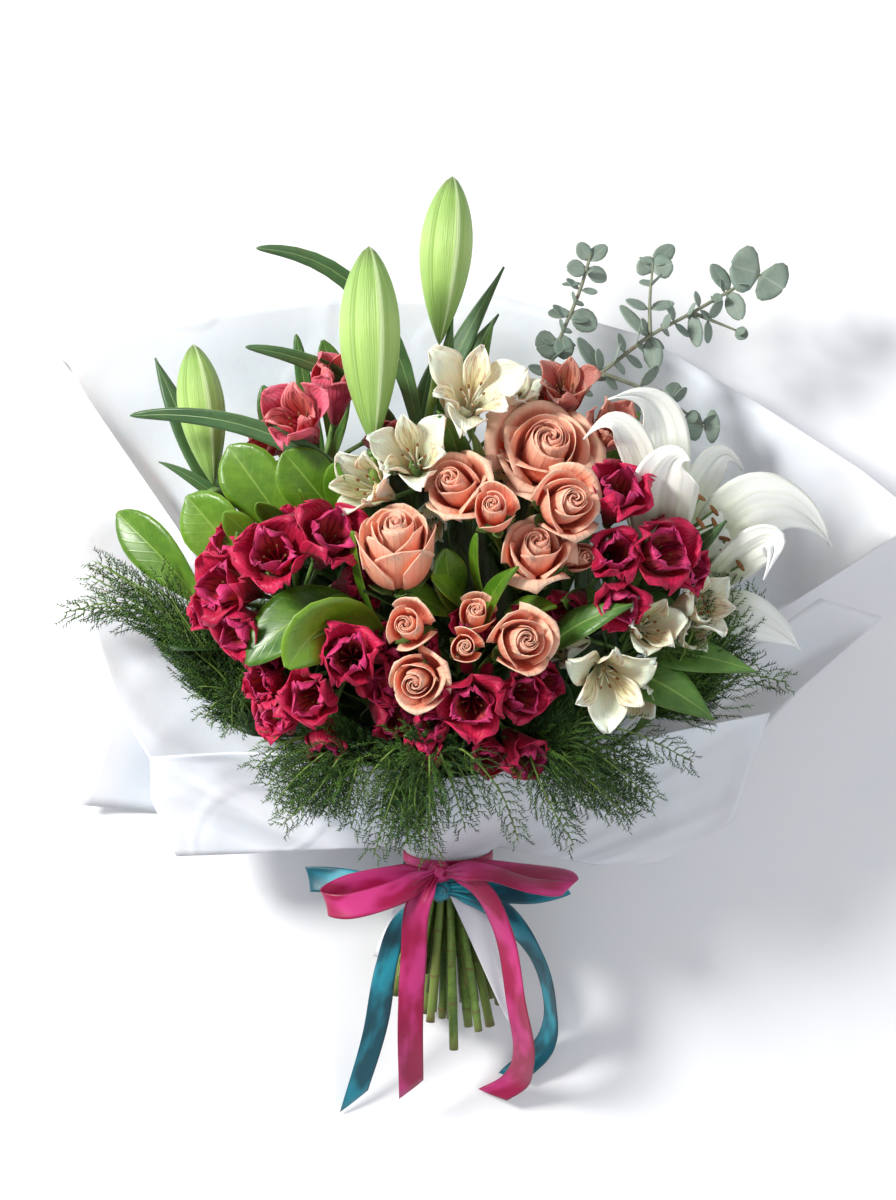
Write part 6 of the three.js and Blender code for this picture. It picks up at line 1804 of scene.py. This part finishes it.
def leaf_pairs(piece, line, first, random):
    """Pairs of small round leaves, each pair turned across the last, that get smaller to the tip."""
    fine = through(line)
    length = lengths(fine)[-1]
    shares = np.linspace(first, 0.97, max(2, int(length * (1 - first) / PAIR_STEP)))
    for k, share in enumerate(shares):
        foot = at_shares(fine, share)
        run = unit(foot - at_shares(fine, share - 0.03))
        side = unit(np.cross(run, UP))
        over = np.cross(side, run)
        turn = (k % 2) * math.pi / 2 + random.uniform(-0.4, 0.4)
        size = lerp(*PAIR_LENGTHS, (share - first) / (1 - first)) * random.uniform(0.85, 1.15)
        for way in (turn, turn + math.pi):
            out = unit(0.35 * run + math.cos(way) * side + 0.55 * math.sin(way) * over)
            face = unit(run + 0.8 * UP)
            leaf_blade(
                piece, foot + 1.2 * out, foot + size * out, (0, 0, 0), 0.72 * size, "coin", face, 1,
                random.random(), fold=0.12, curl=0.05, wave=0.01,
            )


def eucalyptus_piece(stem, spray, random):
    looks = (LOOKS["spray_stem"], LOOKS["coin"], LOOKS["cut"])
    piece = Piece(stem["name"] + "_spray", "eucalyptus_leaf", *looks)
    line = np.array([*stem["line"], *spray["line"][1:]], float)
    shares = np.linspace(0, 1, 70)
    fine = at_shares(through(line, 6), shares)
    piece.tube(fine, lerp(stem["radius"], 1.0, shares), 10, 0, 0.7, cut=2)
    for twig in spray["twigs"]:
        path = through(twig, 6)
        piece.tube(path, np.linspace(1.3, 0.6, len(path)), 8, 0, 0.7)
    lines = [line, *[vec(twig) for twig in spray["twigs"]]]
    for leaf in spray["leaves"]:
        round_leaf(piece, *leaf, lines, random)
    leaf_pairs(piece, line, PAIR_FROM, random)
    for twig in spray["twigs"]:
        leaf_pairs(piece, twig, TWIG_PAIR_FROM, random)
    piece.finish(stem["name"])


def fern_needles(piece, line, reach, random):
    """Fine needles that lean forward to all sides of one branchlet."""
    length = lengths(line)[-1]
    shares = np.repeat(np.linspace(0.05, 1, max(4, int(length / NEEDLE_STEP))), NEEDLES_A_STEP)
    starts = at_shares(line, shares)
    run = unit(line[-1] - line[0])
    side = unit(np.cross(run, UP))
    over = np.cross(side, run)
    turn = random.uniform(0, 2 * math.pi, len(starts))
    out = 0.8 * np.cos(turn)[:, None] * side + 0.5 * np.sin(turn)[:, None] * over + 0.9 * run
    size = reach * random.uniform(0.6, 1.1, len(starts)) * lerp(1.05, 0.65, shares)
    piece.spikes(starts, starts + unit(out) * size[:, None], NEEDLE_RADIUS, 1, random.uniform(0, 1))


def fern_twig(piece, points, random):
    """An arching twig with its branchlets to both sides, longest low down."""
    line = through(points, 8)
    length = lengths(line)[-1]
    piece.tube(line, np.linspace(0.9, 0.3, len(line)), 5, 0, 0.5)
    bare = min(0.5, FERN_BARE / length)
    count = max(4, int(length * (1 - bare) / BRANCHLET_STEP))
    for k, share in enumerate(np.linspace(bare, 0.99, count)):
        foot = at_shares(line, share)
        run = unit(foot - at_shares(line, share - 0.04))
        side = unit(np.cross(run, UP)) * (1 if k % 2 else -1)
        lift = random.uniform(-0.4, 0.5)
        shorter = lerp(BRANCHLET_LONGEST, BRANCHLET_SHORTEST, (share - bare) / (1 - bare))
        reach = shorter * random.uniform(0.7, 1.15)
        middle = foot + 0.5 * reach * (0.5 * run + 0.8 * side + lift * UP)
        tip = foot + reach * (0.95 * run + 0.65 * side + 0.6 * lift * UP)
        tip[2] = max(tip[2], 3)
        path = through([foot, middle, tip], 2)
        piece.tube(path, np.linspace(0.3, 0.12, len(path)), 3, 0, 0.6)
        fern_needles(piece, path, NEEDLE_LENGTH, random)


def fern_piece(stem, fern, random):
    piece = Piece(stem["name"] + "_frond", "fern_needle", LOOKS["stem"], LOOKS["needle"], LOOKS["cut"])
    shares = np.linspace(0, 1, 50)
    fine = at_shares(through(stem["line"], 6), shares)
    piece.tube(fine, lerp(stem["radius"], 1.2, shares), 10, 0, 0.5, cut=2)
    feet = [back_from(stem["line"], 2 + TWIG_STEP * k) for k in range(len(fern["twigs"]))]
    twigs = [vec([foot, *points]) for foot, points in zip(feet, fern["twigs"])]
    for here, after in zip(twigs, twigs[1:]):
        for share in np.linspace(0, 1, FERN_BETWEEN, endpoint=False):
            between = lerp(here, after, share)
            far = np.linspace(0, 1, len(between))[:, None]
            stray = random.uniform(-1, 1, between.shape) * FERN_STRAY * far
            between = between + stray * (share > 0)
            shrink = random.uniform(0.62, 0.98) if share > 0 else 1
            fern_twig(piece, lerp(between[0], between, shrink), random)
    fern_twig(piece, twigs[-1], random)
    piece.finish(stem["name"])


# The wrap, the ribbons and the binding


def neck_point(angle, ring, front, height):
    """The point of a sheet at the neck, seen at an angle round the tie: 90 is towards the flowers."""
    turn = math.radians(angle)
    return place_in(height, ring * complex(math.cos(turn), math.sin(turn) * (1 if front else -1)))


def rim_columns(rim):
    """The rim of a sheet, with a column wherever it turns and between."""
    angle = lambda p: math.degrees(math.atan2(max(0, p[1] - TIE[1]), p[0]))
    points = [vec(p) for p in rim]
    columns = []
    for here, after in zip(points, points[1:]):
        parts = max(1, math.ceil(abs(angle(after) - angle(here)) / WRAP_COLUMN))
        for part in range(parts):
            share = part / parts
            columns.append((lerp(here, after, share), lerp(angle(here), angle(after), share)))
    return [*columns, (points[-1], angle(points[-1]))]


def wrap_height(front, start, end, share):
    if front:
        return lerp(start, end, share) + 5 * math.sin(math.pi * share)
    down = start * max(0, 1 - share / FLAT_FROM)
    return max(PAPER / 2, down, end * float(smooth(FLAT_TO, 1, share)))


def hem(angle, ring, front, tails):
    """Where a sheet ends below the tie: on a tail where it has one there, or just under the neck."""
    for low, high, ends in tails:
        if low <= angle <= high:
            place = (angle - low) / (high - low) * (len(ends) - 1)
            k = min(int(place), len(ends) - 2)
            return lerp(vec(ends[k]), vec(ends[k + 1]), place - k)
    return neck_point(angle, ring, front, -NECK - 3)


def wrap_grid(wrap, sags):
    """The sheet as its solid has it: rows from the hem through the neck out to the rim."""
    front, ring = wrap["front"], wrap["ring"]
    columns = []
    for point, angle in rim_columns(wrap["rim"]):
        start = neck_point(angle, ring, front, NECK)
        column = [hem(angle, ring, front, wrap["tails"]), neck_point(angle, ring, front, -NECK)]
        for row in range(WRAP_ROWS + 1):
            share = row / WRAP_ROWS
            place = lerp(start, point, share)
            if sags:
                place[2] -= SAG * math.sin(math.pi * share)
            else:
                place[2] = wrap_height(front, start[2], point[2], share)
            column.append(place)
        columns.append(column)
    return np.swapaxes(np.array(columns), 0, 1)


def finer(grid, axis, parts):
    """More rows or columns between those of a grid, on straight lines."""
    grid = np.moveaxis(grid, axis, 0)
    steps = [lerp(a, b, k / parts) for a, b in zip(grid, grid[1:]) for k in range(parts)]
    return np.moveaxis(np.array([*steps, grid[-1]]), 0, axis)


def eased(grid, passes):
    """Rounds the corners of a grid, and leaves its edges where they are."""
    for _ in range(passes):
        middle = (grid[:-2, 1:-1] + grid[2:, 1:-1] + grid[1:-1, :-2] + grid[1:-1, 2:]) / 4
        grid[1:-1, 1:-1] = lerp(grid[1:-1, 1:-1], middle, 0.6)
    return grid


def crumple(grid, seed, depth):
    """Long creases that fan out from the tie, with shallow flats between them."""
    random = np.random.default_rng(seed)
    away = grid - TIE
    turn = np.arctan2(away[..., 0], np.abs(away[..., 1]) + 30)
    far = np.linalg.norm(away, axis=2)
    fold = np.zeros(far.shape)
    for _ in range(6):
        count = random.uniform(4, 16)
        wave = np.sin(count * turn + random.uniform(0, 6.3) + random.uniform(-0.012, 0.012) * far)
        fold += random.uniform(0.5, 1) * (1 - np.abs(wave)) ** 1.6
    for _ in range(7):
        way = random.uniform(-0.045, 0.045, 2)
        wave = np.sin(grid[..., 0] * way[0] + grid[..., 1] * way[1] + random.uniform(0, 6.3))
        fold += 0.5 * (1 - np.abs(wave)) ** 2.2
    return depth * smooth(20, 120, far) * (fold - fold.mean())


def wrap_piece(name, wrap):
    piece = Piece(name + "_film", "frosted_wrap", LOOKS["wrap"])
    coarse = wrap_grid(wrap, name in ("wrap_left", "wrap_right"))
    grid = eased(finer(finer(coarse, 0, FINER_ROWS), 1, FINER_COLUMNS), EASING)
    rows, columns = grid.shape[:2]
    v, u = np.meshgrid(np.linspace(0, 1, rows), np.linspace(-1, 1, columns), indexing="ij")
    shift = crumple(grid, len(name), wrap["creases"]) * smooth(0, 0.06, 1 - v)
    grid[..., 2] = np.clip(grid[..., 2] + shift, PAPER, WRAP_TOP)
    piece.sheet(grid, PAPER, 0, 0.5, (v, u))
    piece.finish(name)


def ribbon_run(run, knot):
    """The middle line of a run, the way its width lies, and how wide it is."""
    line = through([at for at, way in run], 10)
    ways = through([unit(way) for at, way in run], 10)
    gap = np.linalg.norm(line - knot, axis=1)
    width = lerp(GATHERED, RIBBON_WIDTH, smooth(KNOT_REACH - 4, KNOT_REACH + 12, gap))
    return line, unit(ways), width


def add_run(piece, run, number, knot):
    """A loop or a tail, cupped along its middle and pleated where the knot gathers it."""
    line, ways, width = ribbon_run(run, knot)
    u = np.linspace(-1, 1, RIBBON_COLUMNS)
    tangent = unit(np.gradient(line, axis=0))
    normal = unit(np.cross(ways, tangent))
    shares = lengths(line) / lengths(line)[-1]
    cup = 0.9 * np.sin(9 * shares + 2 * number) * smooth(0.02, 0.2, shares)
    pinch = 1 - smooth(KNOT_REACH, KNOT_REACH + 16, np.linalg.norm(line - knot, axis=1))
    pleat = np.sin(3.2 * math.pi * u)[None, :] * pinch[:, None] * 1.3
    bend = cup[:, None] * (u[None, :] ** 2 - 0.4) + pleat
    grid = line[:, None] + (u[None, :] * width[:, None] / 2)[..., None] * ways[:, None]
    grid = grid + bend[..., None] * normal[:, None]
    if number >= FIRST_TAIL:
        slant = SLANT_CUT * np.outer(smooth(0.8, 1, shares), u * width[-1])
        grid = grid + slant[..., None] * tangent[-1]
    grid[..., 2] = np.maximum(grid[..., 2], LOWEST_RIBBON)
    along = lengths(line) / 300 + 0.37 * number
    piece.sheet(grid, SATIN, 0, 0.5, np.meshgrid(along, u, indexing="ij"))
    return float(np.sum(np.diff(lengths(line)) * (width[1:] + width[:-1]) / 2))


def add_band(piece, height):
    """The turn of a ribbon round the neck."""
    around = [complex(math.cos(t), math.sin(t)) for t in np.linspace(0, 2 * math.pi, 72)]
    path = np.array([place_in(height, BAND_RADIUS * place) for place in around])
    u = np.linspace(-1, 1, 7)
    grid = path[:, None] + (u * BAND_WIDTH / 2)[None, :, None] * ALONG
    outward = unit(path - place_in(height, 0))
    grid = grid + (0.35 * np.cos(2.5 * math.pi * u))[None, :, None] * outward[:, None]
    marks = np.meshgrid(np.linspace(0, 0.5, len(path)), u, indexing="ij")
    piece.sheet(grid, SATIN, 0, 0.5, marks)
    return 2 * math.pi * BAND_RADIUS * BAND_WIDTH


def ribbon_piece(look, ribbon):
    """A ribbon with its knot. It sums the flat area of its runs and its turn, which nothing then uses."""
    knot = vec(ribbon["knot"])
    node = "ribbon_" + look
    piece = Piece(node + "_satin", look + "_satin", LOOKS[look])
    area = sum(add_run(piece, run, number, knot) for number, run in enumerate(ribbon["runs"]))
    area += add_band(piece, ribbon["height"])
    made = piece.finish(node)
    tied = Piece(node + "_knot", look + "_satin", LOOKS[look])
    v = np.linspace(0, 1, 16)
    girth = KNOT_RADIUS * np.sin(math.pi * v) ** 0.7
    outline = np.stack([girth, lerp(-KNOT_RADIUS, KNOT_RADIUS, v) * 0.8], axis=1)
    outline[[0, -1], 0] = 0
    shape = lambda turn, share: 1 + 0.06 * np.sin(7 * turn)[None, :] * np.sin(math.pi * share)
    tied.lathe(outline, seat(knot, FRONT), 32, 0, 0.5, shape)
    knot_made = tied.finish(node)


def binding_piece():
    piece = Piece("binding_twine_turns", "binding_twine", LOOKS["twine"])
    turns = np.linspace(0, BINDING_TURNS * 2 * math.pi, 30 * BINDING_TURNS)
    reach = BINDING_WIDTH / 2 - 0.7
    heights = lerp(-reach, reach, turns / turns[-1])
    places = [BINDING_RADIUS * complex(math.cos(turn), math.sin(turn)) for turn in turns]
    line = np.array([place_in(height, place) for height, place in zip(heights, places)])
    piece.tube(line, TWINE_RADIUS, 8)
    piece.finish("binding")


# The whole bouquet


def make_bouquet():
    for k, stem in enumerate(lay_stems(stem_list())):
        random = np.random.default_rng(SEEDS["stem"] + k)
        if stem["name"] in EUCALYPTUS:
            eucalyptus_piece(stem, EUCALYPTUS[stem["name"]], random)
        elif stem["name"] in FERNS:
            fern_piece(stem, FERNS[stem["name"]], random)
        else:
            stem_piece(stem, random)
    for k, one in enumerate(ROSES):
        rose_piece(one, np.random.default_rng(SEEDS["rose"] + k))
    for k, one in enumerate(UMBELS):
        umbel_piece(one, np.random.default_rng(SEEDS["umbel"] + k))
    for one in LILY_BUDS:
        lily_bud_piece(one)
    for k, one in enumerate(OPEN_LILIES):
        open_lily_piece(one, np.random.default_rng(SEEDS["lily"] + k))
    for name, wrap in WRAPS.items():
        wrap_piece(name, wrap)
    for look, ribbon in RIBBONS.items():
        ribbon_piece(look, ribbon)
    binding_piece()


# Floor, light and camera


def floor():
    look = Look("pale floor", Specular_IOR_Level=0.2)
    mottled = look.use("mottle", {"Scale": 6})["Mottle"]
    colour = look.blend(mottled, (0.90, 0.91, 0.93), (0.93, 0.93, 0.94))
    material = look.done(Base_Color=colour, Roughness=0.85)
    bpy.ops.mesh.primitive_plane_add(size=6, location=(0, 0, 0))
    made = bpy.context.object
    made.name = "floor"
    made.data.materials.append(material)


def area_light(name, place, size, energy, colour=(1, 1, 1)):
    light = bpy.data.lights.new(name, "AREA")
    light.shape = "DISK"
    light.size = size
    light.energy = energy
    light.color = colour
    made = bpy.data.objects.new(name, light)
    made.location = place
    made.rotation_euler = (-Vector(place)).to_track_quat("-Z", "Y").to_euler()
    bpy.context.scene.collection.objects.link(made)


def lights():
    area_light("window_light", (-1.4, 0.8, 1.35), 0.5, 52, (1.0, 0.98, 0.95))
    area_light("fill_light", (1.4, -0.6, 1.6), 1.4, 8, (0.93, 0.96, 1.0))
    world = bpy.data.worlds.new("soft studio")
    world.use_nodes = True
    sky = world.node_tree.nodes["Background"]
    sky.inputs["Color"].default_value = (0.93, 0.95, 1.0, 1)
    sky.inputs["Strength"].default_value = 0.52
    bpy.context.scene.world = world
    bpy.context.scene.view_settings.view_transform = "Standard"


def camera():
    data = bpy.data.cameras.new("camera")
    data.sensor_fit = "AUTO"
    data.sensor_width = SENSOR_LONG_SIDE
    data.lens = LENS
    made = bpy.data.objects.new("camera", data)
    made.location = (0, 0, CAMERA_HEIGHT * MM)
    bpy.context.scene.collection.objects.link(made)
    bpy.context.scene.camera = made


floor()
lights()
camera()
make_bouquet()
